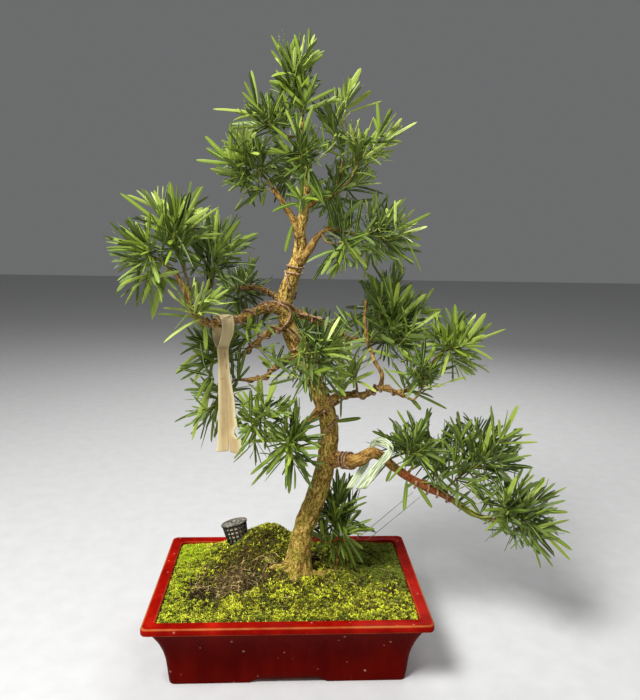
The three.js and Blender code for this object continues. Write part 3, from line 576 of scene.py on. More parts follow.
# How long the leaves of some masses are against the usual ones: the inner crown's are the smallest
LEAF_SIZE = {
    "crown_front": 0.6, "crown_left_low": 0.68, "middle_right": 0.7, "left_back": 0.72,
    "crown_left_high": 0.74, "crown_back": 0.75, "crown_right_low": 0.8, "apex": 0.84,
    "left_inner": 0.85, "shoulder_outer": 0.85, "upper_right": 0.86, "centre_front": 0.88,
    "far_right": 0.9, "low_right_high": 0.9,
}
SIDE_TWIGS = {
    "count": 3, "seats": (0.12, 0.75), "lean": 0.8, "length": 26, "share": 0.62, "thick": (1.7, 2.0),
}


def pick_tint(mass, random):
    """A tint for one shoot, round the mass's usual one."""
    return MASS_TINT.get(mass.short, USUAL_TINT) + TINT_SPREAD * (random() - 0.5)


def fine_rule(mass):
    """The fine leaves' rule at the size of this mass's leaves."""
    size = LEAF_SIZE.get(mass.short, 1)
    length = tuple(size * end for end in FINE["length"])
    return {**FINE, "length": length, "spacing": FINE["spacing"] * size}


def coarse_leaves(mass, start, end, random, placed, tint):
    """The solids' leaves on one shoot, at the size of this mass's leaves."""
    size = LEAF_SIZE.get(mass.short, 1)
    grown = grow_leaves(mass, start, end, random, placed, COARSE, tint)
    return [(*leaf[:4], leaf[4] * size, *leaf[5:]) for leaf in grown]


def grow_mass(mass):
    """The solids' stem, shoots and leaves again, with outer ends, side twigs and finer leaves."""
    random = random_stream(SEED + mass.index)
    finer = random_stream(FINE_SEED + mass.index)
    start, bend, axis, leader = mass.stem()
    first, second = sideways(axis)
    placed = []
    shoots = [((bend + leader) / 2, leader)]
    outer = [mass.heart + axis * OUTER * mass.size]
    twigs = [([start, bend, leader], (TWIG["stem"], TWIG["tip"]))]
    leaves = coarse_leaves(mass, *shoots[0], random, placed, pick_tint(mass, finer))
    fine = fine_rule(mass)
    turn = random() * 2 * math.pi
    for index in range(1, mass.shoots):
        share = index / mass.shoots
        angle = turn + index * GOLDEN_ANGLE
        rise = between(TWIG["rises"], share)
        wide = math.sqrt(1 - rise * rise)
        way = axis * rise + at_angle(first, second, angle) * wide
        tip = mass.heart + way * mass.reach * TWIG["reach"] * vary(random)
        base = bend + (leader - bend) * between(TWIG["forks"], share)
        fits = mass.holds(tip, TWIG["tip_inside"]) and mass.holds(base, TWIG["foot_inside"])
        if fits and obstacles.clearance(base, tip, mass.name) > TWIG["tip"] / 2 + GAP:
            shoots.append((base, tip))
            outer.append(mass.heart + (tip - mass.heart) * OUTER / TWIG["reach"] + RISE * mass.size)
            twigs.append(([base, tip], (TWIG["shoot"], TWIG["tip"])))
            leaves += coarse_leaves(mass, base, tip, random, placed, pick_tint(mass, finer))
    shoots[0] = (bend, leader)
    for (base, tip), end in zip(shoots, outer):
        tint = pick_tint(mass, finer)
        path = [base, tip]
        inside = mass.holds(end, 0, FINE["stretch"])
        if inside and obstacles.clearance(tip, end, mass.name) > TWIG["tip"]:
            path.append(end)
            twigs.append(([tip, end], tuple(TWIG["tip"] * share for share in OUTER_THICK)))
        leaves += grow_leaves(mass, path[0], path[-1], finer, placed, fine, tint, LIFT)
        twigs_here, leaves_here = grow_side_twigs(mass, base, tip, finer, placed)
        twigs += twigs_here
        leaves += leaves_here
    return twigs, leaves


def grow_side_twigs(mass, base, tip, random, placed):
    """Short twigs that fork off one shoot, each with its own spiral of leaves."""
    twigs, leaves = [], []
    along = unit(tip - base)
    first, second = sideways(along)
    turn = random() * 2 * math.pi
    for index in range(SIDE_TWIGS["count"]):
        share = index / (SIDE_TWIGS["count"] - 1)
        angle = turn + index * GOLDEN_ANGLE
        lean = SIDE_TWIGS["lean"] * vary(random)
        around = at_angle(first, second, angle)
        way = unit(along * math.cos(lean) + around * math.sin(lean) + TWIG_LIFT)
        longest = min(SIDE_TWIGS["length"], SIDE_TWIGS["share"] * math.dist(base, tip))
        length = longest * vary(random)
        seat = base + (tip - base) * between(SIDE_TWIGS["seats"], share)
        end = seat + way * length
        clear = obstacles.clearance(seat, end, mass.name) > TWIG["shoot"]
        if clear and mass.holds(np.array([seat, end]), 0, FINE["stretch"]):
            twigs.append(([seat, end], SIDE_TWIGS["thick"]))
            tint = pick_tint(mass, random)
            leaves += grow_leaves(mass, seat, end, random, placed, fine_rule(mass), tint, LIFT)
    return twigs, leaves


# The leaves that stand out, read one by one: the foot and the tip of each in the picture, its width in mm,
# how far it arches over, and its tint
LEAVES_SEEN = [
    # left, upper rosette
    (176, 240, 170, 182, 6.5, 0, 2.6), (174, 240, 154, 190, 5, 0, 2.4), (173, 238, 145, 190, 4, 0.1, 2.2),
    (171, 236, 120, 193, 4, 0.1, 2), (152, 214, 127, 195, 3.5, 0.1, 2.6), (170, 236, 134, 204, 4, 0.1, 3),
    (178, 238, 181, 195, 4, 0, 1), (180, 238, 188, 195, 4.5, 0.05, 1), (184, 222, 203, 186, 4, 0.1, 2.8),
    (187, 232, 209, 208, 5, 0, 3.4), (189, 234, 219, 207, 3.2, 0, 3), (186, 245, 213, 226, 4, 0.1, 2.8),
    (190, 243, 224, 234, 3.2, 0.1, 2.6), (183, 240, 190, 220, 5, 0, 2), (166, 238, 158, 204, 4, 0, 1.6),
    # left, outer rosette
    (148, 250, 105, 237, 4.2, 0.1, 2.2), (150, 252, 106, 248, 3.2, 0.15, 2.4),
    (152, 256, 120, 258, 3.2, 0.3, 1.4), (146, 248, 128, 216, 4, 0, 1.2), (147, 246, 137, 223, 5.5, 0, 1),
    (149, 245, 150, 212, 4, 0, 1.6), (152, 246, 163, 213, 4, 0, 1.8), (144, 246, 117, 244, 4, 0.1, 2),
    (148, 249, 124, 229, 3.4, 0.1, 1.8), (160, 264, 119, 271, 3.2, 0.35, 2.2),
    (160, 266, 119, 283, 3.4, 0.4, 2.2), (161, 267, 125, 305, 3.4, 0.5, 3),
    (163, 268, 142, 304, 5, 0.4, 3), (166, 268, 152, 319, 6.5, 0.3, 3.4),
    (167, 272, 160, 298, 5, 0.3, 1.8),
    # left, inner rosette
    (213, 252, 218, 207, 4, 0, 2.4), (214, 250, 240, 220, 6, 0, 2.2), (215, 251, 258, 233, 5, 0.1, 2.4),
    (216, 255, 248, 253, 2.4, 0.1, 2), (210, 250, 208, 224, 4.4, 0, 1.6),
    (207, 264, 212, 300, 6, 0.3, 0.6), (210, 262, 228, 290, 6.5, 0.2, 1), (212, 256, 222, 236, 4, 0, 2),
    # left, under the bough
    (201, 315, 175, 298, 3.2, 0, 2.4), (201, 314, 163, 308, 2.6, 0.1, 3.2),
    (204, 317, 156, 314, 2.8, 0.1, 2.2), (204, 313, 194, 298, 5, 0, 3.6), (205, 313, 222, 286, 5, 0, 2.2),
    (205, 314, 214, 295, 5, 0, 2.6), (205, 326, 206, 350, 5, 0.2, 2.8), (229, 276, 231, 258, 4, 0, 3),
    (232, 278, 238, 263, 3.4, 0, 2.4), (247, 280, 255, 258, 6, 0, 2.6), (243, 282, 240, 266, 4.4, 0, 1.6),
    (238, 300, 222, 312, 4, 0.3, 1.2), (240, 302, 236, 318, 4, 0.3, 1),
    # left, low
    (213, 385, 192, 440, 5.6, 0.5, 2.8), (211, 385, 203, 426, 5, 0.5, 2.8),
    (218, 388, 215, 422, 4.4, 0.4, 3.2), (207, 381, 196, 402, 4.4, 0.5, 2.2),
    (197, 352, 175, 375, 5.4, 0.5, 3), (206, 360, 195, 380, 5, 0.4, 3), (193, 340, 206, 372, 2.4, 0.1, 2),
    (207, 335, 208, 368, 4.2, 0.2, 2.6), (212, 348, 210, 378, 4, 0.1, 1.6),
    # low left, outer rosette
    (258, 419, 236, 391, 4.2, 0, 2.6), (258, 414, 242, 390, 4, 0, 3), (260, 416, 256, 394, 5.4, 0, 2.2),
    (262, 414, 261, 377, 4.4, 0, 3), (265, 410, 273, 380, 5.4, 0, 3), (261, 426, 238, 411, 5.4, 0.1, 1.4),
    (260, 430, 238, 425, 4, 0.1, 1.6), (262, 434, 238, 429, 4, 0.1, 2), (270, 420, 291, 395, 4.4, 0, 2),
    (272, 424, 297, 398, 5.4, 0, 2),
    # low left, front rosette
    (288, 441, 243, 442, 4.4, 0.1, 2.6), (287, 438, 247, 430, 4.2, 0.1, 2.2),
    (283, 444, 250, 475, 4.4, 0.1, 2), (286, 446, 251, 486, 3.6, 0.05, 2.8),
    (288, 446, 266, 475, 4.6, 0, 2), (292, 446, 289, 494, 5.2, 0, 2.2),
    (295, 449, 308, 480, 4.2, 0.1, 1.8), (298, 450, 315, 466, 3.6, 0.1, 1.8),
    (303, 444, 320, 448, 4.4, 0.1, 2), (288, 436, 286, 404, 4.2, 0, 1.4),
    (292, 436, 296, 400, 4.6, 0, 1.8), (300, 430, 293, 408, 3.2, 0, 2.4), (297, 440, 306, 434, 5, 0.2, 3),
    (296, 446, 302, 452, 5, 0.3, 3.2), (284, 440, 262, 418, 4, 0, 1.6),
    # crown, tip
    (291, 74, 271, 35, 3.4, 0, 2), (291, 78, 271, 50, 4, 0, 2), (295, 66, 294, 38, 4.4, 0, 3),
    (296, 66, 301, 30, 3, 0, 2), (297, 64, 317, 38, 2.8, 0, 2.4), (298, 66, 314, 49, 4.2, 0, 2.8),
    (300, 67, 320, 50, 5, 0, 3), (301, 70, 323, 54, 5, 0, 2.8), (291, 88, 276, 70, 4.2, 0, 1.4),
    (290, 88, 269, 81, 4.2, 0.1, 1.6),
    # crown, front
    (305, 110, 297, 70, 5.2, 0, 1.8), (303, 108, 277, 80, 4.4, 0, 2.2), (308, 107, 317, 73, 5.2, 0, 1.2),
    (311, 108, 335, 89, 4.2, 0, 2.4), (312, 115, 341, 99, 5, 0.05, 3), (307, 112, 290, 96, 4.2, 0, 1.6),
    (340, 102, 361, 68, 6.4, 0, 3), (343, 110, 372, 91, 6.2, 0, 2.8), (344, 115, 382, 101, 2.2, 0, 3),
    (304, 118, 322, 150, 4, 0.3, 1.4), (308, 122, 326, 148, 3, 0.3, 1.8), (302, 130, 296, 112, 5, 0, 1),
    # crown, left
    (266, 116, 213, 109, 3.2, 0.1, 2.8), (263, 112, 242, 92, 3.6, 0, 1.8), (270, 118, 267, 92, 5, 0, 0.6),
    (262, 114, 233, 121, 3, 0.3, 2.6), (232, 160, 231, 122, 4.4, 0, 2.4), (234, 161, 205, 136, 5, 0, 1.4),
    (234, 163, 206, 148, 6, 0, 1.6), (231, 163, 196, 160, 4.2, 0, 1.8), (236, 160, 243, 128, 4.4, 0, 2.2),
    (241, 163, 251, 130, 4.4, 0, 2), (252, 172, 216, 174, 3, 0.1, 2), (250, 178, 228, 192, 3, 0.2, 2.2),
    (262, 188, 249, 205, 4, 0.2, 1.8), (270, 192, 262, 206, 4, 0.2, 1.6), (262, 186, 238, 183, 4, 0.1, 2),
    (244, 160, 222, 152, 4, 0.1, 2),
    # crown, middle
    (300, 172, 317, 192, 4, 0.2, 0.8), (303, 199, 331, 192, 5, 0.25, 2.8), (285, 165, 270, 148, 4, 0, 2),
    (288, 160, 279, 140, 4.4, 0, 2.6), (292, 165, 305, 145, 4, 0, 2.2), (280, 172, 262, 165, 4, 0.1, 2.4),
    (283, 178, 268, 186, 4, 0.2, 1.8), (306, 160, 318, 142, 4, 0, 1.6),
    # crown, right
    (380, 138, 377, 101, 4.2, 0, 2), (382, 136, 374, 118, 4, 0, 1.8), (388, 130, 391, 108, 4.4, 0, 2.2),
    (393, 127, 417, 122, 3.2, 0.05, 2.8), (390, 132, 402, 118, 4, 0, 3),
    (384, 140, 402, 142, 3, 0.2, 2.4), (346, 163, 390, 142, 4.6, 0.1, 3.2),
    (346, 160, 378, 164, 3.4, 0.25, 2.8), (339, 156, 337, 132, 5.4, 0, 1.2),
    (334, 160, 328, 140, 5, 0, 1), (351, 152, 350, 123, 3, 0, 2), (360, 146, 368, 128, 4.4, 0, 2),
    (346, 168, 352, 190, 4, 0.2, 1.8), (344, 172, 330, 196, 5, 0.2, 0.8),
    # right shoulder
    (342, 236, 321, 275, 5.4, 0.1, 2.2), (343, 237, 334, 277, 5.4, 0.1, 2),
    (348, 237, 367, 268, 4.4, 0.15, 2.4), (347, 236, 356, 262, 4.6, 0.1, 1.6),
    (346, 233, 376, 237, 4.4, 0.1, 1.4), (340, 232, 331, 200, 5.2, 0, 0.6),
    (338, 230, 338, 196, 5, 0, 0.4), (345, 231, 353, 206, 4.6, 0, 1), (368, 236, 394, 259, 4.4, 0.1, 2),
    (390, 224, 386, 208, 4.6, 0, 4), (393, 224, 394, 206, 4.6, 0, 4), (397, 226, 395, 200, 3.4, 0, 3.4),
    (399, 230, 431, 213, 4.2, -0.05, 2.4), (404, 234, 421, 240, 3.4, 0.1, 2),
    (404, 237, 421, 272, 2.4, 0.3, 2.4), (395, 241, 403, 275, 2.4, 0.3, 2.2),
    (372, 240, 388, 262, 4, 0.2, 1.6),
    # upper right
    (391, 318, 386, 276, 3.6, 0, 2), (392, 316, 399, 282, 6, 0, 2.8), (393, 313, 412, 284, 6, 0, 2.6),
    (409, 306, 413, 290, 5.4, 0, 3), (396, 320, 426, 294, 6, 0, 3), (423, 306, 434, 287, 3.4, 0, 2.4),
    (390, 320, 364, 288, 3.4, 0, 1.6), (380, 300, 372, 275, 4.2, 0, 2), (389, 306, 383, 276, 4.6, 0, 1.6),
    (391, 302, 389, 274, 3.2, 0, 2), (418, 309, 442, 310, 4.2, 0.05, 3),
    (424, 312, 443, 317, 4.2, 0.05, 2.8), (396, 336, 430, 328, 3.2, 0, 2.6),
    (394, 350, 415, 350, 3.4, 0.1, 2.2), (371, 348, 398, 358, 4.6, 0.1, 3),
    (386, 330, 366, 318, 4, 0, 1.4), (387, 340, 368, 340, 4, 0.1, 1.6),
    # far right
    (454, 345, 455, 304, 5, 0, 2), (457, 345, 463, 320, 6, 0, 2.6), (460, 345, 486, 313, 6, 0, 2.8),
    (462, 345, 492, 323, 4.2, 0, 2.4), (464, 346, 506, 329, 2.8, 0, 3),
    (462, 350, 486, 347, 2.8, 0.05, 2), (466, 351, 493, 360, 3.2, 0.25, 2.6),
    (466, 356, 490, 373, 2.8, 0.4, 2.8), (451, 348, 430, 322, 3.4, 0, 1.8),
    (452, 346, 437, 320, 5, 0, 1.6), (450, 364, 474, 373, 3.4, 0.1, 2.8),
    (445, 370, 467, 377, 2.8, 0.1, 2.6), (424, 366, 437, 345, 5.4, 0, 2.4),
    (424, 362, 425, 338, 4.4, 0, 0.8),
    # middle right
    (408, 398, 421, 410, 5, 0.1, 1.4), (412, 394, 447, 409, 3.4, 0.05, 1.6),
    (404, 392, 383, 367, 2.6, 0.05, 2), (404, 390, 400, 372, 4, 0, 1.4),
    (345, 386, 356, 357, 5.2, 0, 3.6), (349, 387, 375, 371, 5, 0, 3.4), (343, 387, 339, 362, 4.6, 0, 3.2),
    (342, 388, 330, 366, 4.2, 0, 2.6), (350, 385, 352, 366, 4, 0, 3),
    # low right, inner
    (412, 440, 397, 410, 3.2, 0, 2), (415, 437, 422, 418, 6, 0, 1), (418, 438, 427, 423, 6, 0, 0.8),
    (420, 441, 443, 441, 3.4, 0.1, 1.6), (408, 453, 388, 482, 3.2, 0.1, 1.8),
    (404, 482, 404, 511, 5.2, 0, 1.6), (412, 488, 432, 508, 5.2, 0, 1.8), (441, 463, 425, 448, 4, 0, 1.4),
    (410, 446, 391, 432, 4, 0, 1.6), (406, 444, 372, 431, 4.6, 0, 1), (415, 450, 430, 462, 5, 0.2, 3),
    # low right, high
    (461, 442, 450, 416, 2.8, 0, 2), (460, 441, 445, 420, 2.8, 0, 2), (462, 438, 472, 419, 6, 0, 2.2),
    (463, 440, 478, 432, 4.6, 0.1, 2.2), (456, 441, 441, 430, 3.4, 0, 1.8),
    (480, 462, 491, 424, 6, 0, 2.8), (494, 447, 491, 405, 3.4, 0, 2.4), (498, 440, 499, 419, 4.2, 0, 2.4),
    (499, 438, 518, 405, 6.2, 0, 3.2), (501, 442, 523, 428, 5.4, 0, 3), (504, 441, 532, 434, 3, 0, 2.4),
    (500, 445, 538, 442, 3, 0, 2.8), (505, 452, 532, 455, 2.6, 0.05, 2.2),
    (495, 463, 522, 460, 4, 0.05, 1.4), (487, 470, 525, 468, 4, 0.1, 1),
    # low right, tip
    (509, 500, 523, 468, 4.6, 0, 2.6), (509, 502, 516, 477, 6, 0, 3), (512, 500, 532, 468, 3, 0, 2.4),
    (515, 514, 545, 480, 7, 0, 4), (504, 504, 505, 488, 5.4, 0, 3), (527, 508, 567, 487, 2.8, 0, 1.6),
    (522, 515, 568, 512, 5.2, 0.05, 2.6), (546, 511, 554, 502, 4, 0, 2), (522, 524, 571, 533, 3, 0.1, 2),
    (532, 528, 554, 522, 5.2, 0, 2.4), (532, 530, 556, 531, 5.2, 0, 2.2),
    (541, 535, 570, 560, 4.2, 0.05, 2.6), (536, 535, 553, 567, 3.2, 0.1, 2),
    (526, 532, 541, 569, 2.8, 0.1, 2), (500, 519, 513, 537, 5, 0.1, 2.2),
    (492, 519, 507, 535, 5, 0.1, 1.8), (480, 514, 470, 500, 4, 0, 1), (486, 512, 492, 494, 4.4, 0, 0.8),
    (495, 512, 486, 496, 4, 0, 1),
    # at the foot
    (338, 502, 337, 468, 5.2, 0, 1), (340, 505, 345, 472, 5.2, 0, 1), (341, 508, 357, 479, 4.2, 0, 0.8),
    (342, 508, 367, 496, 3.2, 0.05, 1.6), (345, 508, 367, 502, 3.2, 0.05, 1.4),
    (347, 531, 375, 529, 4.4, 0.1, 2.2), (349, 530, 372, 519, 4.4, 0.05, 2),
    (326, 541, 318, 516, 6, 0, 2.4), (345, 535, 363, 563, 5.2, 0.2, 1.4),
    (342, 535, 356, 568, 4.4, 0.2, 1.4), (338, 531, 322, 500, 5.2, 0, 0.4),
    (336, 528, 330, 494, 4.6, 0, 0.4), (333, 535, 316, 548, 5, 0.2, 1.8),
    (340, 537, 338, 556, 4.4, 0.1, 1.2),
    # basal tuft, filling in
    (322, 541, 321, 520, 5, 0, 3), (325, 541, 328, 514, 4.6, 0, 1.8), (338, 524, 329, 500, 4.6, 0, 1),
    (336, 530, 324, 508, 4.6, 0, 0.6), (334, 532, 319, 505, 4.6, 0, 0.6),
    (343, 523, 355, 508, 4.6, 0, 0.8), (342, 528, 350, 513, 4, 0, 0.6), (340, 530, 341, 512, 4.4, 0, 0.2),
    (340, 500, 353, 475, 5.4, 0, 1.6), (336, 504, 333, 478, 4.4, 0, 0.4),
    (338, 505, 330, 491, 2.4, 0, 1.6), (346, 533, 363, 534, 2.6, 0, 3),
    (343, 536, 363, 549, 5, 0.15, 2.6), (338, 546, 348, 560, 3.6, 0.2, 2),
    (338, 548, 334, 563, 4, 0, 1.2), (340, 548, 343, 566, 4.4, 0, 0.8), (332, 540, 313, 552, 3, 0.1, 2.6),
    (336, 540, 326, 553, 4, 0.1, 1.4), (341, 545, 352, 560, 4.4, 0.1, 1),
    (336, 548, 329, 562, 3.6, 0.1, 1.6),
    # filling in, left
    (160, 252, 178, 262, 4, 0.1, 0.6), (170, 250, 186, 269, 4, 0.1, 0.6),
    (182, 252, 200, 262, 4, 0.1, 0.8), (186, 256, 206, 268, 4, 0.2, 0.6),
    (166, 262, 180, 273, 4, 0.1, 0.6), (190, 250, 206, 258, 4, 0.1, 1), (176, 247, 162, 262, 4, 0.1, 0.8),
    (196, 262, 190, 276, 4, 0.2, 0.6), (252, 343, 262, 320, 5, 0, 2.4), (250, 342, 240, 322, 5, 0, 2),
    (252, 345, 235, 330, 4.4, 0.1, 2), (254, 348, 271, 331, 4.4, 0.1, 2.6),
    (248, 340, 252, 318, 5, 0, 1.4), (236, 372, 240, 345, 4, 0, 1.2), (238, 372, 246, 349, 4, 0, 1.6),
    (234, 378, 232, 352, 4, 0, 1), (240, 378, 250, 366, 3.4, 0, 1.4), (243, 368, 236, 352, 3.4, 0, 1),
    (276, 366, 284, 345, 4, 0, 1.2), (274, 364, 272, 343, 4, 0, 1.4), (278, 368, 292, 352, 4, 0, 1.4),
    (276, 372, 262, 362, 4, 0.1, 3), (270, 362, 258, 356, 4, 0, 3.4),
    # filling in, crown and trunk
    (290, 190, 299, 212, 4, 0.2, 1.2), (312, 190, 325, 206, 4, 0.2, 1.4),
    (322, 199, 310, 213, 4, 0.2, 1.2), (318, 180, 323, 200, 4, 0.1, 1),
    (293, 224, 285, 252, 4.6, 0.1, 1.6), (350, 228, 352, 197, 5, 0, 0.6),
    (356, 228, 362, 200, 4.4, 0, 0.6), (348, 225, 340, 201, 4.4, 0, 0.8),
    (350, 240, 362, 254, 4, 0.2, 1.2), (338, 418, 361, 418, 5.2, 0, 2.4), (301, 86, 312, 66, 4, 0, 1.4),
    (290, 110, 282, 92, 4.4, 0, 1.6), (324, 128, 318, 108, 4, 0, 1.2), (330, 118, 322, 98, 4, 0, 1.6),
    # filling in, low right
    (396, 462, 386, 482, 4, 0.2, 1.6), (420, 472, 406, 488, 4, 0.3, 1.4),
    (428, 478, 444, 490, 4.4, 0.2, 1.6), (436, 470, 420, 482, 4, 0.2, 1), (446, 500, 466, 506, 5, 0.1, 2),
    (450, 504, 474, 517, 5, 0.05, 2.2), (456, 508, 472, 500, 4.4, 0, 2),
    (462, 512, 488, 522, 4.6, 0.1, 1.6), (460, 482, 486, 490, 3.4, 0.1, 1.6),
    (464, 480, 480, 500, 4, 0.2, 1), (478, 476, 509, 480, 5, 0.05, 1.6),
    (472, 482, 494, 496, 4.4, 0.2, 1), (480, 468, 508, 471, 4.4, 0.1, 1.4),
    (470, 490, 458, 502, 4, 0.1, 1.2), (484, 500, 476, 486, 4, 0, 1), (438, 462, 444, 478, 4, 0.1, 1.4),
    (430, 455, 446, 464, 4.4, 0.1, 2.2), (448, 460, 452, 446, 3.4, 0, 1.8),
    (452, 478, 468, 468, 4, 0.1, 1.6),
    # filling in, over the upper trunk
    (300, 199, 330, 192, 4.6, 0.25, 2), (319, 188, 299, 168, 4.6, 0.15, -0.4),
    (303, 195, 296, 186, 3, 0.1, 2.2), (300, 198, 291, 190, 3, 0.1, 1.8),
    (299, 201, 285, 194, 4.4, 0.25, 0.8), (302, 209, 291, 203, 3, 0.25, 2),
    (317, 209, 315, 198, 2.8, 0, 1.8), (320, 212, 331, 203, 3, 0.1, 1), (336, 196, 328, 233, 4.6, 0, 1.2),
    (335, 198, 334, 231, 4.4, 0, 0.8), (330, 205, 322, 216, 3, 0.1, 0.6),
    (307, 178, 296, 172, 3.6, 0.2, 0.8), (304, 184, 292, 178, 3.4, 0.1, 0.4),
    (322, 186, 330, 176, 3.4, 0.1, 1.2), (316, 176, 311, 163, 3.6, 0, 1),
    (310, 190, 322, 200, 3.4, 0.2, 0.6), (292, 182, 284, 168, 3.6, 0.1, 0.6),
    (298, 176, 290, 160, 3.8, 0, 0.9),
    # filling in, middle right
    (397, 351, 419, 346, 3.6, 0.1, 1.4), (398, 354, 411, 354, 3.2, 0.1, 1),
    (405, 346, 429, 338, 3.4, 0, 1.8), (421, 368, 423, 340, 4.6, 0, 1.4), (417, 366, 409, 350, 4, 0, 0.8),
    (418, 367, 401, 353, 3.6, 0.1, 1.6), (424, 368, 414, 345, 4, 0, 0.8),
    (427, 370, 444, 352, 4.2, 0, 1.2), (430, 372, 455, 358, 3.8, 0.15, 1.6),
    (434, 374, 456, 366, 3.6, 0.1, 1.2), (412, 386, 400, 371, 3.4, 0, 1.2),
    (414, 382, 409, 368, 3.6, 0, 1), (416, 388, 428, 376, 4, 0, 1.2), (420, 384, 437, 376, 3.8, 0.1, 1.4),
    (452, 344, 430, 322, 3.6, 0, 1.6), (404, 344, 416, 330, 4, 0, 1), (400, 348, 384, 340, 4, 0.1, 0.8),
    (408, 350, 424, 356, 3.8, 0.2, 0.8), (414, 358, 400, 362, 3.6, 0.1, 0.6),
    (422, 364, 438, 366, 4, 0.1, 0.8),
    # filling in, low right
    (440, 470, 458, 488, 4.2, 0.1, 1.2), (445, 476, 462, 470, 4, 0.1, 1.4),
    (455, 470, 462, 455, 4, 0, 1.2), (468, 486, 488, 478, 4.4, 0.1, 1.6),
    (476, 492, 492, 506, 4.2, 0.1, 1), (486, 500, 500, 488, 4, 0, 1.2),
    (452, 492, 440, 480, 3.8, 0.1, 0.8), (444, 488, 462, 496, 4.2, 0.1, 1.2),
    (474, 500, 456, 492, 4, 0.1, 1), (432, 466, 450, 474, 4.2, 0.1, 1.4),
]
# The longer young shoots: the mass each belongs to, the depth its tip comes to, its tint, and places in
# the picture from near the twig that carries it to its tip
SHOOTS = [
    ("apex", -6, 3, [(300, 125), (290, 92), (294, 66)]),
    ("apex", -22, 2, [(303, 120), (305, 104)]),
    ("crown_left_high", -14, 1.5, [(280, 132), (262, 118), (256, 104)]),
    ("crown_left_low", -20, 2, [(262, 188), (243, 178), (230, 160)]),
    ("crown_left_low", -8, 1.5, [(272, 190), (252, 190), (240, 188)]),
    ("crown_left_low", -28, 3, [(252, 165), (246, 142)]),
    ("crown_front", -44, 2.5, [(301, 155), (298, 138)]),
    ("crown_right_low", -16, 3, [(334, 172), (357, 153), (380, 136)]),
    ("crown_right_high", -2, 3.5, [(330, 150), (333, 124), (340, 106)]),
    ("crown_right_low", -24, 2, [(345, 165), (356, 148), (359, 133)]),
    ("crown_right_low", -10, 1, [(338, 192), (356, 184)]),
    ("crown_front", -24, 2, [(322, 165), (336, 142)]),
    ("crown_front", -26, 1.6, [(304, 214), (303, 206), (301, 199)]),
    ("crown_right_low", -20, 1.2, [(314, 206), (320, 200), (326, 196)]),
    ("shoulder_inner", -18, 1.5, [(325, 228), (343, 240)]),
    ("shoulder_outer", -14, 3.5, [(362, 244), (385, 242), (402, 234)]),
    ("shoulder_outer", -8, 4, [(375, 238), (388, 218)]),
    ("shoulder_inner", 2, 1, [(338, 222), (344, 204)]),
    ("upper_right", -6, 3, [(385, 352), (392, 324), (393, 308)]),
    ("upper_right", -18, 2, [(396, 350), (412, 330)]),
    ("upper_right", 0, 1.5, [(376, 345), (374, 322)]),
    ("upper_right", 4, 1, [(366, 345), (348, 326)]),
    ("far_right", -18, 3, [(432, 372), (448, 354), (457, 342)]),
    ("middle_right", -20, 1.5, [(405, 395), (425, 380), (438, 362)]),
    ("middle_right", -12, 1, [(404, 393), (410, 372)]),
    ("middle_fan", -18, 4.2, [(338, 398), (341, 386)]),
    ("centre_front", -52, 3.5, [(310, 374), (318, 357), (321, 348)]),
    ("centre_front", -48, 3.5, [(306, 378), (297, 378), (287, 372)]),
    ("left_centre", -14, 3.6, [(271, 368), (262, 350), (251, 335)]),
    ("left_centre", -8, 2, [(258, 332), (262, 316)]),
    ("left_centre", -16, 1.5, [(272, 368), (278, 356)]),
    ("lower_left", -30, 1, [(228, 385), (214, 380), (206, 374)]),
    ("lower_left", -20, 2, [(226, 372), (240, 352)]),
    ("low_left_outer", -44, 3, [(262, 418), (264, 406)]),
    ("low_left_front", -50, 3, [(302, 436), (291, 443)]),
    ("low_right_inner", -26, 2.5, [(404, 470), (408, 455), (415, 440)]),
    ("low_right_high", -16, 3, [(462, 482), (480, 460), (503, 438)]),
    ("low_right_high", -8, 2, [(465, 480), (462, 456), (461, 438)]),
    ("low_right_high", -8, 1.5, [(462, 484), (474, 493), (486, 502)]),
    ("low_right_inner", -26, 1.5, [(424, 474), (436, 482), (447, 490)]),
    ("low_right_tip", -34, 2.5, [(446, 500), (475, 517), (500, 516), (522, 512)]),
    ("low_right_tip", -26, 2, [(477, 518), (500, 530), (540, 532)]),
    ("low_right_tip", -20, 4, [(505, 516), (522, 512)]),
    ("low_right_inner", -28, 1.2, [(450, 494), (461, 488), (472, 482)]),
    ("low_right_inner", -30, 1.6, [(466, 506), (480, 503), (493, 497)]),
    ("low_right_inner", -24, 0.8, [(456, 500), (467, 507), (480, 514)]),
    ("low_right_inner", -26, 1.2, [(436, 480), (448, 474), (458, 466)]),
    ("basal", 4, 1.5, [(338, 528), (338, 502)]),
    ("basal", -4, 2, [(340, 545), (345, 530)]),
    ("basal", 2, 0.8, [(339, 549), (331, 544), (323, 541)]),
    ("left_high", -52, 3, [(176, 262), (173, 244), (172, 232)]),
    ("left_tip", -60, 2, [(165, 262), (155, 250), (150, 242)]),
    ("left_inner", -24, 2, [(200, 275), (205, 258), (212, 240)]),
    ("left_under", -64, 3, [(197, 316), (204, 304)]),
]

# The rules for the leaves round these shoots: along them, and round their tips
ALONG = {
    **FINE, "margin": -14, "stretch": 1.35, "from_limbs": 1.2,
    "taper": COARSE["taper"], "lean": (0.7, 1.1),
}
AROUND_TIP = {**ALONG, "taper": FINE["taper"], "lean": FINE["lean"]}
SHOOT_THICK = 2.0
# The places that leaves or shoots can grow from, every few mm along twigs and along each limb
SPOT_STEP = 4
FIRST_SPOT = 0.15
LIMB_SPOTS = np.linspace(0.02, 1, 60)
OUTER_SPOTS = np.linspace(0.3, 1, 30)
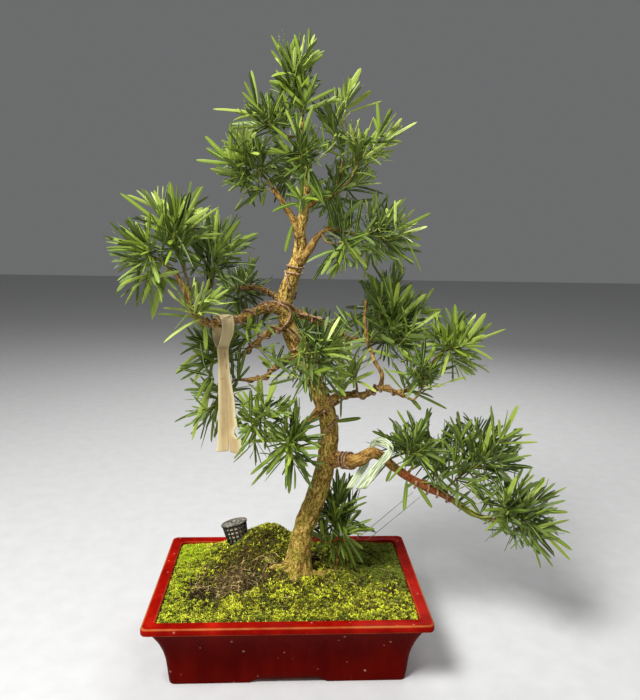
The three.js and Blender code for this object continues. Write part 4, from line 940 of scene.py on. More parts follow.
# How a seen leaf picks its place: mm of distance that a mm of depth and a limb count for, how many places
# are tried, how far its tip comes before the limb and by how much that varies, how near the bark's
# surface it sits, and the room it needs
FRONT_FIRST, LIMB_LAST = 0.2, 4
CANDIDATES = 40
BEFORE_LIMB, TIP_VARIES, TIP_FORWARD = 1.3, 8, 0.6
ON_BARK = 0.9
SEEN_ROOM = 1.5
SEEN_WIDTH = 0.9


def spots_along(mass_twigs):
    """Places along twigs, for others to grow from."""
    spots = []
    for bends, _ in mass_twigs:
        for start, end in zip(bends, bends[1:]):
            count = max(2, int(math.dist(start, end) / SPOT_STEP))
            spots += [start + (end - start) * share for share in np.linspace(FIRST_SPOT, 1, count)]
    return spots


def grow_seen(spots, owners):
    """The leaves of LEAVES_SEEN, each from the twig or limb nearest to its foot, facing the viewer."""
    on_limbs = [(limb, t) for limb in limbs.values() for t in LIMB_SPOTS]
    spots = np.concatenate([spots, [limb.point(t) for limb, t in on_limbs]])
    owners = [(masses[owner].name, 0) for owner in owners]
    owners += [(limb.name, limb.radius(t)) for limb, t in on_limbs]
    rooms = np.array([room for _, room in owners])
    seen = np.array([seen_at(spot) for spot in spots])
    random = random_stream(FINE_SEED - 1)
    grown = []
    for foot_u, foot_v, tip_u, tip_v, width, arch, tint in LEAVES_SEEN:
        foot = on_sight_line((foot_u, foot_v))
        cost = np.maximum(0, np.linalg.norm(seen - foot, axis=1) - rooms) + LIMB_LAST * (rooms > 0)
        for index in np.argsort(cost + FRONT_FIRST * spots[:, 1])[:CANDIDATES]:
            seat, (owner, room) = spots[index], owners[index]
            depth = seat[1] - room * BEFORE_LIMB + TIP_VARIES * (random() - TIP_FORWARD)
            tip = on_sight_line((tip_u, tip_v), depth)
            seat = seat + unit(unit(tip - seat) - (0, 1, 0)) * room * ON_BARK
            if obstacles.clearance(seat, tip, owner) > SEEN_ROOM:
                length = math.dist(seat, tip)
                way = (tip - seat) / length + np.array([0, 0, arch])
                across = unit(np.cross(way, EYE - seat))
                face = unit(np.cross(across, way))
                grown.append((seat, way, across, face, length, 0.0, tint, width * SEEN_WIDTH, arch))
                break
    return grown


def grow_shoots(spots, owners):
    """The shoots of SHOOTS and their leaves, each from the nearest twig of its mass or place on its limb."""
    random = random_stream(FINE_SEED - 2)
    twigs, leaves, on = [], [], []
    for name, depth, tint, line in SHOOTS:
        mass = next(mass for mass in masses if mass.short == name)
        limb = limbs[mass.carrier]
        near = [spot for spot, owner in zip(spots, owners) if owner == mass.index]
        near += list(limb.line(OUTER_SPOTS))
        root_at = on_sight_line(line[0])
        foot = min(near, key=lambda spot: math.dist(seen_at(spot), root_at))
        depths = foot[1] + (depth - foot[1]) * np.linspace(0, 1, len(line))
        path = [foot] + [on_sight_line(*place) for place in zip(line[1:], depths[1:])]
        placed = []
        for start, end in list(zip(path, path[1:]))[::-1]:
            rule = ALONG if placed else AROUND_TIP
            twigs.append(([start, end], (SHOOT_THICK, SHOOT_THICK)))
            on.append(mass.index)
            varied = tint + random() - 0.5
            leaves += grow_leaves(mass, start, end, random, placed, rule, varied, LIFT)
    return twigs, leaves, on


twigs, leaves, spots, owners = [], [], [], []


def add_spots(some_twigs, owner):
    """Lets shoots and seen leaves grow from some twigs of a mass."""
    found = spots_along(some_twigs)
    spots.extend(found)
    owners.extend([owner] * len(found))


for mass in masses:
    mass_twigs, mass_leaves = grow_mass(mass)
    twigs += mass_twigs
    leaves += mass_leaves
    add_spots(mass_twigs, mass.index)
shoots, shoot_leaves, shoot_owners = grow_shoots(spots, owners)
for shoot, owner in zip(shoots, shoot_owners):
    add_spots([shoot], owner)
twigs += shoots
leaves += shoot_leaves + grow_seen(spots, owners)

# ---------------------------------------------------------------- meshes


class Heap:
    """Points and faces of many small things that become one mesh."""

    def __init__(self):
        self.points = []
        self.faces = []
        self.count = 0

    def add(self, points, faces):
        points = np.asarray(points, float).reshape(-1, 3)
        self.points.append(points)
        if isinstance(faces, np.ndarray):
            self.faces.extend((faces + self.count).tolist())
        else:
            self.faces.extend([index + self.count for index in face] for face in faces)
        self.count += len(points)


def grid_faces(rows, columns, closed=False):
    """Quads between neighbouring rows of points, each row a ring if closed."""
    row = np.arange(rows - 1)[:, None] * columns
    column = np.arange(columns if closed else columns - 1)[None]
    following = (column + 1) % columns
    quads = [row + column, row + following, row + columns + following, row + columns + column]
    return np.stack(np.broadcast_arrays(*quads), -1).reshape(-1, 4)


def capped_faces(rows, columns):
    """The faces of a tube of rings, with both ends closed."""
    last = (rows - 1) * columns
    sides = grid_faces(rows, columns, closed=True).tolist()
    return sides + [list(range(columns))[::-1], list(range(last, last + columns))]


def tube_rings(path, radii, sides, across=None):
    """Rings of points round a path, and the direction along it at each ring."""
    path = np.asarray(path, float)
    along = np.gradient(path, axis=0)
    along /= np.linalg.norm(along, axis=1)[:, None]
    across = sideways(along[0])[0] if across is None else across
    angles = 2 * math.pi * np.arange(sides) / sides
    rings = []
    for point, way, radius in zip(path, along, radii):
        across = unit(across - way * (across @ way))
        beside = np.cross(way, across)
        round_it = np.outer(np.cos(angles), across) + np.outer(np.sin(angles), beside)
        rings.append(point + np.reshape(radius, (-1, 1)) * round_it)
    return np.array(rings)


def grid_rim(rows, columns):
    """The points along the edge of a grid of points, in turn."""
    index = np.arange(rows * columns).reshape(rows, columns)
    return np.concatenate([index[0, :-1], index[:-1, -1], index[-1, :0:-1], index[:0:-1, 0]])


def add_tube(heap, path, radii, sides=6):
    rings = tube_rings(path, radii, sides)
    heap.add(rings, capped_faces(len(path), sides))


def add_slab(heap, grid, thickness):
    """A thin closed body that follows a grid of points, half its thickness to either side."""
    rows, columns = grid.shape[:2]
    normal = np.cross(np.gradient(grid, axis=1), np.gradient(grid, axis=0))
    normal /= np.linalg.norm(normal, axis=2)[:, :, None]
    both = np.concatenate([grid + normal * thickness / 2, grid - normal * thickness / 2])
    front = grid_faces(rows, columns)
    back = front[:, ::-1] + rows * columns
    rim = grid_rim(rows, columns)
    following = np.roll(rim, -1)
    edge = np.stack([following, rim, rim + rows * columns, following + rows * columns], -1)
    heap.add(both, np.concatenate([front, back, edge]))


def make_piece(name, heap, material, replaces=(), attributes=None):
    """One mesh object in the frame, that rides on the plant's only body."""
    mesh = bpy.data.meshes.new(name)
    points = np.concatenate(heap.points) * MM + POT_MIDDLE
    mesh.from_pydata(points.tolist(), [], heap.faces)
    for key, values in (attributes or {}).items():
        values = np.asarray(values, np.float32)
        kind, field = ("FLOAT_VECTOR", "vector") if values.ndim == 2 else ("FLOAT", "value")
        mesh.attributes.new(key, kind, "POINT").data.foreach_set(field, values.ravel())
    mesh.polygons.foreach_set("use_smooth", [True] * len(mesh.polygons))
    mesh.materials.append(material)
    piece = bpy.data.objects.new(name, mesh)
    bpy.context.scene.collection.objects.link(piece)
    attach(piece, "root")
    if replaces:
        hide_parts(*replaces)
    return piece


# ---------------------------------------------------------------- materials


class Shader:
    """Adds nodes to a material and joins them, a source being a socket, a number or a colour."""

    def __init__(self, name, **sockets):
        self.material = bpy.data.materials.new(name)
        self.material.use_nodes = True
        self.tree = self.material.node_tree
        self.surface = self.tree.nodes["Principled BSDF"]
        self.finish(**sockets)

    def set(self, node, inputs):
        for key, value in inputs.items():
            socket = node.inputs[key]
            if isinstance(value, bpy.types.NodeSocket):
                self.tree.links.new(value, socket)
            elif isinstance(value, (tuple, list)) and socket.type == "RGBA":
                socket.default_value = (*value, 1)
            else:
                socket.default_value = value

    def node(self, kind, inputs=None, output=0, **settings):
        node = self.tree.nodes.new("ShaderNode" + kind)
        for key, value in settings.items():
            setattr(node, key, value)
        self.set(node, inputs or {})
        return node.outputs[output]

    def place(self):
        """Object coordinates, in metres in the frame."""
        return self.node("TexCoord", output="Object")

    def attribute(self, name, vector=False):
        return self.node("Attribute", attribute_name=name, output="Vector" if vector else "Fac")

    def part(self, vector, axis):
        return self.node("SeparateXYZ", {"Vector": vector}, output=axis)

    def noise(self, vector, scale, detail=3.0, roughness=0.55):
        inputs = {"Vector": vector, "Scale": scale, "Detail": detail, "Roughness": roughness}
        return self.node("TexNoise", inputs)

    def stretched(self, vector, scale):
        return self.node("Mapping", {"Vector": vector, "Scale": scale})

    def remap(self, value, low, high, to_low=0.0, to_high=1.0):
        inputs = {"Value": value, "From Min": low, "From Max": high, "To Min": to_low, "To Max": to_high}
        return self.node("MapRange", inputs)

    def mix(self, share, first, second):
        inputs = {"Factor": share, 6: first, 7: second}
        return self.node("Mix", inputs, output=2, data_type="RGBA")

    def times(self, first, second):
        return self.node("Math", {0: first, 1: second}, operation="MULTIPLY")

    def total(self, *terms):
        """The sum of some values, each times its weight."""
        result = 0.0
        for value, weight in terms:
            result = self.node("Math", {0: value, 1: weight, 2: result}, operation="MULTIPLY_ADD")
        return result

    def ramp(self, value, stops):
        node = self.tree.nodes.new("ShaderNodeValToRGB")
        self.set(node, {"Fac": value})
        elements = node.color_ramp.elements
        while len(elements) < len(stops):
            elements.new(0.5)
        for element, (place, color) in zip(elements, stops):
            element.position = place
            element.color = (*color, 1)
        return node.outputs["Color"]

    def relief(self, height, strength, distance):
        bump = self.node("Bump", {"Height": height, "Strength": strength, "Distance": distance})
        self.set(self.surface, {"Normal": bump})

    def finish(self, **sockets):
        self.set(self.surface, {key.replace("_", " "): value for key, value in sockets.items()})
        return self.material


# The part of a noise's range that its strongest and weakest places lie in
NOISE_RANGE = (0.3, 0.7)


def grained(name, scale, detail, stops, roughness, relief=None, **sockets):
    """A material whose colour and relief follow one noise, and its roughness too if it has two ends."""
    shader = Shader(name, **sockets)
    grain = shader.noise(shader.place(), scale, detail)
    if relief:
        shader.relief(grain, *relief)
    if isinstance(roughness, tuple):
        roughness = shader.remap(grain, *NOISE_RANGE, *roughness)
    return shader.finish(Base_Color=shader.ramp(grain, stops), Roughness=roughness)


def leaf_material(name, color, roughness=(0.36, 0.52)):
    shader = Shader(name, Base_Color=color, Specular_IOR_Level=0.32)
    place = shader.place()
    patchy = shader.noise(place, 260.0)
    shader.relief(shader.noise(place, 1500.0), 0.18, 0.0003)
    return shader.finish(Roughness=shader.remap(patchy, *NOISE_RANGE, *roughness))


# Bark's other colours: the moss that grows low on it, young green bark, and rust red
BLOOM = [(0.38, (0.03, 0.026, 0.003)), (0.5, (0.16, 0.135, 0.011)), (0.62, (0.58, 0.49, 0.055))]
YOUNG_BARK = [(0.4, (0.07, 0.08, 0.012)), (0.6, (0.26, 0.28, 0.05))]
RUST = [(0.4, (0.1, 0.018, 0.006)), (0.52, (0.38, 0.075, 0.022)), (0.64, (0.7, 0.26, 0.09))]
# The height in metres at which the moss ends and the height at which it is full
BLOOM_ENDS, BLOOM_FULL = 0.36, 0.09


def bark_material(name, groove, middle, ridge, moss=0.0, green_from=None, red_between=None):
    """Fibrous bark: dark grooves and lighter ridges, with moss that thins out upwards.

    It is green from one X on and red between two others, all in metres in the frame.
    """
    shader = Shader(name, Specular_IOR_Level=0.2)
    grain, relief = shader.attribute("grain", vector=True), shader.attribute("relief")
    place = shader.place()
    from_left = shader.part(place, "X")
    fibres = shader.noise(shader.stretched(grain, (1.1, 1.1, 0.26)), 1.0, 6.0, 0.7)
    specks = shader.noise(grain, 0.75, 6.0, 0.8)
    flakes = shader.noise(shader.stretched(grain, (0.3, 0.3, 0.14)), 1.0, 4.0)
    tone = shader.total((fibres, 0.35), (relief, 0.08), (specks, 0.425), (flakes, 0.25))
    color = shader.ramp(tone, [(0.46, groove), (0.525, middle), (0.595, ridge)])
    if moss:
        low = shader.remap(shader.part(place, "Z"), BLOOM_ENDS, BLOOM_FULL, 0.0, moss)
        patches = shader.remap(shader.noise(place, 90.0, 5.0), 0.42, 0.62)
        green = shader.ramp(shader.noise(place, 620.0), BLOOM)
        color = shader.mix(shader.times(low, patches), color, green)
    if green_from:
        young = shader.remap(from_left, green_from, green_from + 0.02, 0.0, 0.9)
        color = shader.mix(young, color, shader.ramp(fibres, YOUNG_BARK))
    if red_between:
        start, end = red_between
        begins = shader.remap(from_left, start - 0.01, start + 0.005, 0.0, 0.8)
        ends = shader.remap(from_left, end - 0.005, end + 0.01, 1.0, 0.0)
        color = shader.mix(shader.times(begins, ends), color, shader.ramp(specks, RUST))
    shader.relief(shader.total((fibres, 1), (shader.noise(place, 1400.0), 0.4), (specks, 0.6)), 0.8, 0.0009)
    return shader.finish(Base_Color=color, Roughness=shader.remap(fibres, *NOISE_RANGE, 0.95, 0.7))


# ---------------------------------------------------------------- leaves and twigs

# From shaded leaves to the youngest, as linear colours: the deep tint is painted shade for leaves in shadow,
# and the lighter ones are partly painted light on lit leaves and partly younger growth
LEAF_COLORS = {
    "deep": (0.022, 0.04, 0.005),
    "green": (0.066, 0.112, 0.01),
    "fresh": (0.16, 0.235, 0.016),
    "light": (0.30, 0.385, 0.055),
    "young": (0.45, 0.53, 0.13),
}
# A leaf's usual width and length in mm, and how its width varies and goes with its length
LEAF_WIDTH, USUAL_LENGTH = 3.9, 38
WIDTH_VARIES, WIDTH_BY_LENGTH = (0.7, 0.6), (0.66, 1.05)
# Its half width along it, as a share of the widest
LEAF_PLACES = np.array([0, 0.07, 0.2, 0.45, 0.78, 0.93, 1.0])
LEAF_OUTLINE = np.array([0.24, 0.42, 0.78, 1.0, 0.92, 0.68, 0.12])
# How far it curves in or out, droops, twists along its length and rolls over, in radians or shares
CURVE, DROOP, DROOP_LOW = (-0.2, 0.26), 0.05, 0.34
TWIST, LEAF_ROLL, SEEN_ROLL = 0.9, 1.5, 0.5
# Where the midrib ends and the blade begins, as a share of the half width
RIB = 0.18
# How many tints lighter a leaf is, by its place from the tip of its shoot down
YOUNGER = ((0, 0.15, 0.4, 1), (1.3, 0.7, 0, -0.5))


def leaf_points(grown, random, columns):
    """Points of many leaves: for each leaf, a row of columns at each of LEAF_PLACES along it.

    A column is its share of the half width and its height over the blade, in mm.
    """
    seat, way, across, face, length, down, _, width, arch = map(np.array, zip(*grown))
    seen = width > 0
    curve = np.where(seen, 0, CURVE[0] + CURVE[1] * random[0])[:, None, None]
    droop = np.where(seen, arch, (DROOP + DROOP_LOW * down) * random[1])[:, None, None]
    roll = (random[4] - 0.5) * np.where(seen, SEEN_ROLL, LEAF_ROLL)
    twist = ((random[2] - 0.5) * TWIST)[:, None] * LEAF_PLACES + roll[:, None]
    varied = LEAF_WIDTH * (WIDTH_VARIES[0] + WIDTH_VARIES[1] * random[3])
    usual = varied * np.clip(length / USUAL_LENGTH, *WIDTH_BY_LENGTH)
    half = np.where(seen, width, usual)[:, None] / 2 * LEAF_OUTLINE
    along = LEAF_PLACES[None, :, None]
    bend = face[:, None] * curve + np.array([0, 0, -1.0]) * droop
    line = seat[:, None] + length[:, None, None] * (way[:, None] * along + bend * along ** 2)
    tangent = way[:, None] + 2 * along * bend
    wide = across[:, None] * np.cos(twist)[..., None] + face[:, None] * np.sin(twist)[..., None]
    over = np.cross(wide, tangent)
    over /= np.linalg.norm(over, axis=2)[..., None]
    rows = [
        line + wide * (half * share)[..., None] + over * (height * LEAF_OUTLINE)[None, :, None]
        for share, height in columns
    ]
    return np.stack(rows, axis=2).reshape(len(grown), -1, 3)


def add_leaves(heap, points, columns, flip=False):
    faces = grid_faces(len(LEAF_PLACES), columns)
    faces = faces[:, ::-1] if flip else faces
    offsets = np.arange(len(points))[:, None, None] * points.shape[1]
    heap.add(points, (faces + offsets).reshape(-1, 4))


# The columns of each part of a leaf: a share of the half width and the height over the blade in mm
LEFT_BLADE = [(-1, -0.3), (-0.8, 0.0), (-RIB, -0.12)]
RIGHT_BLADE = [(RIB, -0.12), (0.8, 0.0), (1, -0.3)]
MIDRIB = [(-RIB, -0.12), (0, 0.22), (RIB, -0.12)]
UNDERSIDE = [(-1, -0.3), (0, -0.55), (1, -0.3)]

MASS_NODES = [mass.name for mass in masses]
TINT_NOISE = 0.3
dice = np.random.default_rng(11)
shares = dice.random((5, len(leaves)))
tints = np.array([leaf[6] for leaf in leaves])
ruled = np.array([leaf[7] == 0 for leaf in leaves])
tints += ruled * np.interp([leaf[5] for leaf in leaves], *YOUNGER) + dice.normal(0, TINT_NOISE, len(leaves))
tints = np.clip(np.round(tints), 0, len(TINTS) - 1).astype(int)

ribs, undersides = Heap(), Heap()
for number, tint in enumerate(TINTS):
    chosen = np.flatnonzero(tints == number)
    grown, random = [leaves[index] for index in chosen], shares[:, chosen]
    blades = Heap()
    for columns in (LEFT_BLADE, RIGHT_BLADE):
        add_leaves(blades, leaf_points(grown, random, columns), len(columns))
    add_leaves(ribs, leaf_points(grown, random, MIDRIB), len(MIDRIB))
    add_leaves(undersides, leaf_points(grown, random, UNDERSIDE), len(UNDERSIDE), flip=True)
    material = leaf_material("leaf_" + tint, LEAF_COLORS[tint])
    make_piece("leaves_" + tint, blades, material, MASS_NODES)
make_piece("leaf_midribs", ribs, leaf_material("midrib", (0.27, 0.36, 0.06)), MASS_NODES)
underside = leaf_material("leaf_underside", (0.125, 0.18, 0.038), (0.5, 0.65))
make_piece("leaf_undersides", undersides, underside, MASS_NODES)

# How far a twig bows, how much it tapers, and its radius against the thickness in the solids' rule
BOW, TWIG_TAPER, TWIG_RADIUS = 0.05, 0.62, 0.36
stems, shoots = Heap(), Heap()
for bends, thickness in twigs:
    is_stem = len(bends) == 3
    share = np.linspace(0, 1, 9 if is_stem else 5)
    path = Limb("twig", [(*point, 0) for point in bends]).line(share)
    bow = sideways(unit(path[-1] - path[0]))[0] * BOW * math.dist(path[0], path[-1])
    path += np.outer(np.sin(math.pi * share), bow)
    radii = TWIG_RADIUS * (thickness[0] + (thickness[1] * TWIG_TAPER - thickness[0]) * share)
    add_tube(stems if is_stem else shoots, path, radii, 7)
brown = grained("twig_bark", 420.0, 5.0, [
    (0.3, (0.07, 0.05, 0.012)), (0.52, (0.22, 0.15, 0.04)), (0.75, (0.38, 0.3, 0.1)),
], 0.75, (0.5, 0.0006))
make_piece("twig_stems", stems, brown, MASS_NODES)
green = grained("green_shoot", 380.0, 4.0, [
    (0.3, (0.2, 0.25, 0.025)), (0.7, (0.46, 0.52, 0.08)),
], 0.6, (0.4, 0.0005))
make_piece("green_shoots", shoots, green, MASS_NODES)

# ---------------------------------------------------------------- trunk and boughs

# Points round a limb, mm between its rings, and the relief of its fibres and of its lumps in mm
BARK = {"trunk": (48, 1.2, 0.42, 0.8), "bough": (26, 1.3, 0.28, 0.55), "stub": (12, 2.0, 0.25, 0.3)}
# How fine the relief's fibres, chips and lumps are, round a limb and along it, and how much of each
FIBRES, CHIPS, LUMPS = (0.42, 0.42, 0.075), (0.95, 0.95, 0.3), (0.09, 0.09, 0.085)
FIBRE_HEIGHT, CHIP_HEIGHT, LUMP_HEIGHT, FIBRE_EDGE = 0.6, 0.5, 1.6, 2.4
# A bough is thicker where it leaves its carrier, by this share and over this length in mm
COLLAR, COLLAR_LENGTH = 0.4, 5
# The side of a limb that each of its rings starts on
RING_START = np.array([1.0, 0.0, 0.0])


def bark_rings(limb, sides, pitch, rough, lumpy):
    """Rings of a limb with the bark's relief, the grain's own coordinates and the relief itself."""
    shares = np.linspace(0, 1, max(6, int(limb.length / pitch)))
    path = limb.line(shares)
    travel = np.concatenate([[0], np.cumsum(np.linalg.norm(np.diff(path, axis=0), axis=1))])
    angles = 2 * math.pi * np.arange(sides) / sides
    radius = limb.radii(shares)[:, None] * np.ones(sides)
    if limb.flare:
        radius = radius * limb.swell((path[:, 2] - path[0, 2])[:, None], angles)
    else:
        out = np.maximum(0, travel - collar_start(limb))
        radius = radius * (1 + COLLAR * np.exp(-out / COLLAR_LENGTH)[:, None])
    along = np.broadcast_to(travel[:, None], radius.shape)
    grain = np.stack([np.cos(angles) * radius, np.sin(angles) * radius, along], -1).reshape(-1, 3)
    fibres = 1 - FIBRE_EDGE * np.abs(ripple(grain, FIBRES))
    relief = FIBRE_HEIGHT * fibres + CHIP_HEIGHT * ripple(grain, CHIPS, 17.0)
    lumps = LUMP_HEIGHT * ripple(grain, LUMPS, 5.0)
    height = (rough * relief + lumpy * lumps).reshape(radius.shape)
    return tube_rings(path, radius + height, sides, RING_START), grain, relief


def collar_start(limb):
    """How far along a bough its carrier's surface lies."""
    carrier = limbs.get(CARRIERS.get(limb.name))
    if carrier is None:
        return 0.0
    spots = np.linspace(0, 1, 60)
    away = [math.dist(carrier.point(t), limb.point(0)) for t in spots]
    return carrier.radius(spots[int(np.argmin(away))])


def make_bark(name, parts, detail, material, replaces):
    """One piece of bark over a limb and any roots, at the detail that BARK gives."""
    heap, attributes = Heap(), {"grain": [], "relief": []}
    for limb in parts:
        rings, grain, relief = bark_rings(limb, *BARK[detail])
        heap.add(rings, capped_faces(*rings.shape[:2]))
        attributes["grain"].extend(grain)
        attributes["relief"].extend(relief)
    make_piece(name, heap, material, replaces, attributes=attributes)


# Roots along the moss: x, y, height over the moss and thickness at each bend
ROOTS = [
    [(10, -9, 12, 16), (1, -9, 6, 13), (-7, -8, 1.8, 9), (-16, -6, 0.2, 6), (-25, -7, -2, 3)],
    [(14, -9, 9, 13), (22, -14, 1.5, 8), (34, -14, 0.6, 4.6), (48, -4, 0.8, 3.8), (59, 4, -1.5, 3)],
    [(11, -6, 10, 14), (14, 6, 2.5, 9), (12, 18, 0, 5), (15, 28, -2.5, 3)],
]
STUB = [(87, 1, 346, 4), (83, 2, 360, 3.8), (80, 3, 380, 3.6), (81, 3, 402, 3.2)]
roots = [
    Limb("root", [(x, y, soil_height(x, y) + over, thick) for x, y, over, thick in places])
    for places in ROOTS
]
golden = bark_material(
    "bark_trunk", (0.045, 0.026, 0.007), (0.27, 0.15, 0.021), (0.78, 0.56, 0.155), moss=0.9,
)
orange = bark_material("bark_bough", (0.045, 0.022, 0.007), (0.23, 0.118, 0.022), (0.54, 0.34, 0.1))
make_bark("bark_trunk", [limbs["trunk"]] + roots, "trunk", golden, ["trunk"])
reddish = bark_material(
    "bark_low_bough", (0.045, 0.018, 0.007), (0.24, 0.115, 0.018), (0.52, 0.32, 0.09),
    green_from=0.114, red_between=(0.055, 0.108),
)
for name, _, _ in BOUGHS:
    looks = reddish if name == "bough_low_right" else orange
    make_bark("bark_" + name, [limbs[name]], "bough", looks, [name])
make_bark("bare_twig", [Limb("stub", STUB)], "stub", orange, [])

# ---------------------------------------------------------------- training wire


# Points of a coil for each turn, and how far it lies off the bark: shares of the radius and the gauge
TURN_POINTS = 22
COIL_OFF = (1.03, 0.55)
ROUND_WIRE = 8


def add_coil(heap, name, start, end, turns, gauge, angle):
    """Wire wound round a limb from one share of its length to another."""
    limb = limbs[name]
    shares = np.linspace(start, end, int(abs(turns) * TURN_POINTS) + 2)
    path = limb.line(shares)
    rings = tube_rings(path, np.ones(len(path)), 4, RING_START)
    across, beside = rings[:, 0] - path, rings[:, 1] - path
    turned = angle + np.linspace(0, 2 * math.pi * turns, len(shares))[:, None]
    away = limb.radii(shares)[:, None] * COIL_OFF[0] + gauge * COIL_OFF[1]
    wound = path + (across * np.cos(turned) + beside * np.sin(turned)) * away
    add_tube(heap, wound, [gauge / 2] * len(wound), ROUND_WIRE)


def share_at(limb, height):
    """How far up the trunk a height lies."""
    shares = np.linspace(0, 1, 200)
    return float(np.interp(height, limb.line(shares)[:, 2], shares))


trunk = limbs["trunk"]
# The limb, the shares of its length that a coil starts and ends at, its turns, gauge in mm and first angle
COILS = [
    ("bough_left", 0.07, 0.42, 3.2, 2.6, 0.4),
    ("bough_left", 0.52, 0.66, 1.6, 2.0, 0.0),
    ("bough_upper_left", 0.12, 0.97, 7, 1.8, 0.0),
    ("bough_lower_left", 0.1, 0.95, 4, 2.4, 1.0),
    ("bough_bottom_left", 0.2, 0.97, 3, 2.0, 1.0),
    ("bough_upper_right", 0.3, 0.85, 4, 2.3, 0.0),
    ("bough_mid_right", 0.1, 0.96, 6, 2.2, 2.0),
    ("bough_low_right", 0.09, 0.19, 3, 2.5, 1.0),
    ("bough_low_right", 0.58, 0.78, 3.5, 3.0, 1.0),
    ("trunk", share_at(trunk, 428), share_at(trunk, 441), 2, 2.2, 2.2),
]
# Wires over the bark of some limbs: places in the picture, and whether the wire passes in front of the
# limb there (-1) or behind it (1)
LAID = [
    (("trunk",), [(285, 271, -1), (287, 279, -1), (290, 288, -1), (296, 293, 1), (300, 301, 1)]),
    (("trunk", "bough_left", "bough_lower_left"), [
        (262, 303, -1), (270, 302, -1), (277, 302.5, -1), (284, 305.5, -1), (288, 308, -1), (290.5, 313, -1),
        (289, 320, -1), (282, 328, -1), (276, 332, -1),
    ]),
    (("trunk", "bough_upper_right"), [
        (275, 299, 1), (284, 302, -1), (292, 306, -1), (298, 313, -1), (304, 315, -1), (310, 316, -1),
        (321, 320, -1), (328, 325, -1),
    ]),
    (("trunk",), [
        (280, 326, -1), (287, 329, -1), (292, 334, -1), (298, 340, -1), (301, 345, 1), (296, 349, -1),
        (291, 351, -1), (285, 356, -1), (284, 362, 1), (292, 367, 1), (300, 371, 1), (309, 373, -1),
    ]),
    (("trunk", "bough_low_right", "bough_mid_right"), [
        (341, 454, -1), (337, 451, -1), (330, 449, 1), (320, 445, 1), (318, 441, -1), (321, 437, -1),
        (330, 427, -1), (337, 420, -1), (337, 416, 1), (326, 413, 1), (317, 413.5, -1), (325, 411, -1),
        (335, 405, -1), (343, 399, -1), (347, 393, 1),
    ]),
]
# Their thickness in mm, and how far off the bark they lie as a share of the limb's radius
LAID_THICK, LAID_OFF = 2.7, 1.04


def laid_on(names, places):
    """Where a wire runs on the bark, from where the viewer sees it."""
    shares = np.linspace(0, 1, 240)
    middles = np.concatenate([limbs[name].line(shares) for name in names])
    rooms = np.concatenate([limbs[name].radii(shares) for name in names]) * LAID_OFF + LAID_THICK / 2
    path = []
    for *place, side in places:
        aim = unit(on_sight_line(place) - EYE)
        nearest = EYE + aim * ((middles - EYE) @ aim)[:, None]
        apart = np.linalg.norm(nearest - middles, axis=1)
        best = np.argmin(apart - rooms)
        middle, point, away, room = middles[best], nearest[best], apart[best], rooms[best]
        if away < room:
            path.append(point + side * aim * math.sqrt(room ** 2 - away ** 2))
        else:
            path.append(middle + (point - middle) * room / away)
    return path


wire = Heap()
for coil in COILS:
    add_coil(wire, *coil)
for names, places in LAID:
    line = Limb("wire", [(*bend, 0) for bend in laid_on(names, places)])
    path = line.line(np.linspace(0, 1, 8 * len(places)))
    add_tube(wire, path, [LAID_THICK / 2] * len(path), ROUND_WIRE)
copper = grained("training_wire", 500.0, 5.0, [
    (0.33, (0.1, 0.045, 0.02)), (0.52, (0.3, 0.16, 0.07)), (0.7, (0.66, 0.46, 0.26)),
], (0.5, 0.32), (0.25, 0.0003))
make_piece("training_wires", wire, copper)

# The upper and the lower end of each guy wire
GUYS = [((148, -13, 183), (97, 82, 77)), ((139, -13, 188), (84, 84, 78))]
GUY_RADIUS = 0.35
guys = Heap()
for upper, lower in GUYS:
    add_tube(guys, np.linspace(upper, lower, 8), [GUY_RADIUS] * 8)
steel = grained("guy_wire", 600.0, 3.0, [
    (0.3, (0.42, 0.42, 0.42)), (0.7, (0.68, 0.68, 0.67)),
], (0.3, 0.5), Metallic=0.6)
make_piece("guy_wires", guys, steel)

# ---------------------------------------------------------------- pot

# Steps round each corner of the pot, and along its long and its short sides
CORNER_STEPS = 7
SIDE_STEPS = (46, 30)


def rounded_outline(half_x, half_y, radius):
    """A rectangle with rounded corners and points along its sides, counter-clockwise from +X."""
    corners = []
    for corner, (sign_x, sign_y) in enumerate(((1, 1), (-1, 1), (-1, -1), (1, -1))):
        middle = np.array([sign_x * (half_x - radius), sign_y * (half_y - radius)])
        angles = math.pi / 2 * (corner + np.arange(CORNER_STEPS + 1) / CORNER_STEPS)
        corners.append(middle + radius * np.stack([np.cos(angles), np.sin(angles)], 1))
    outline = []
    for corner in range(4):
        start, end = corners[corner][-1], corners[(corner + 1) % 4][0]
        steps = SIDE_STEPS[corner % 2]
        side = start + (end - start) * (np.arange(1, steps) / steps)[:, None]
        outline += [corners[corner], side]
    return np.concatenate(outline)


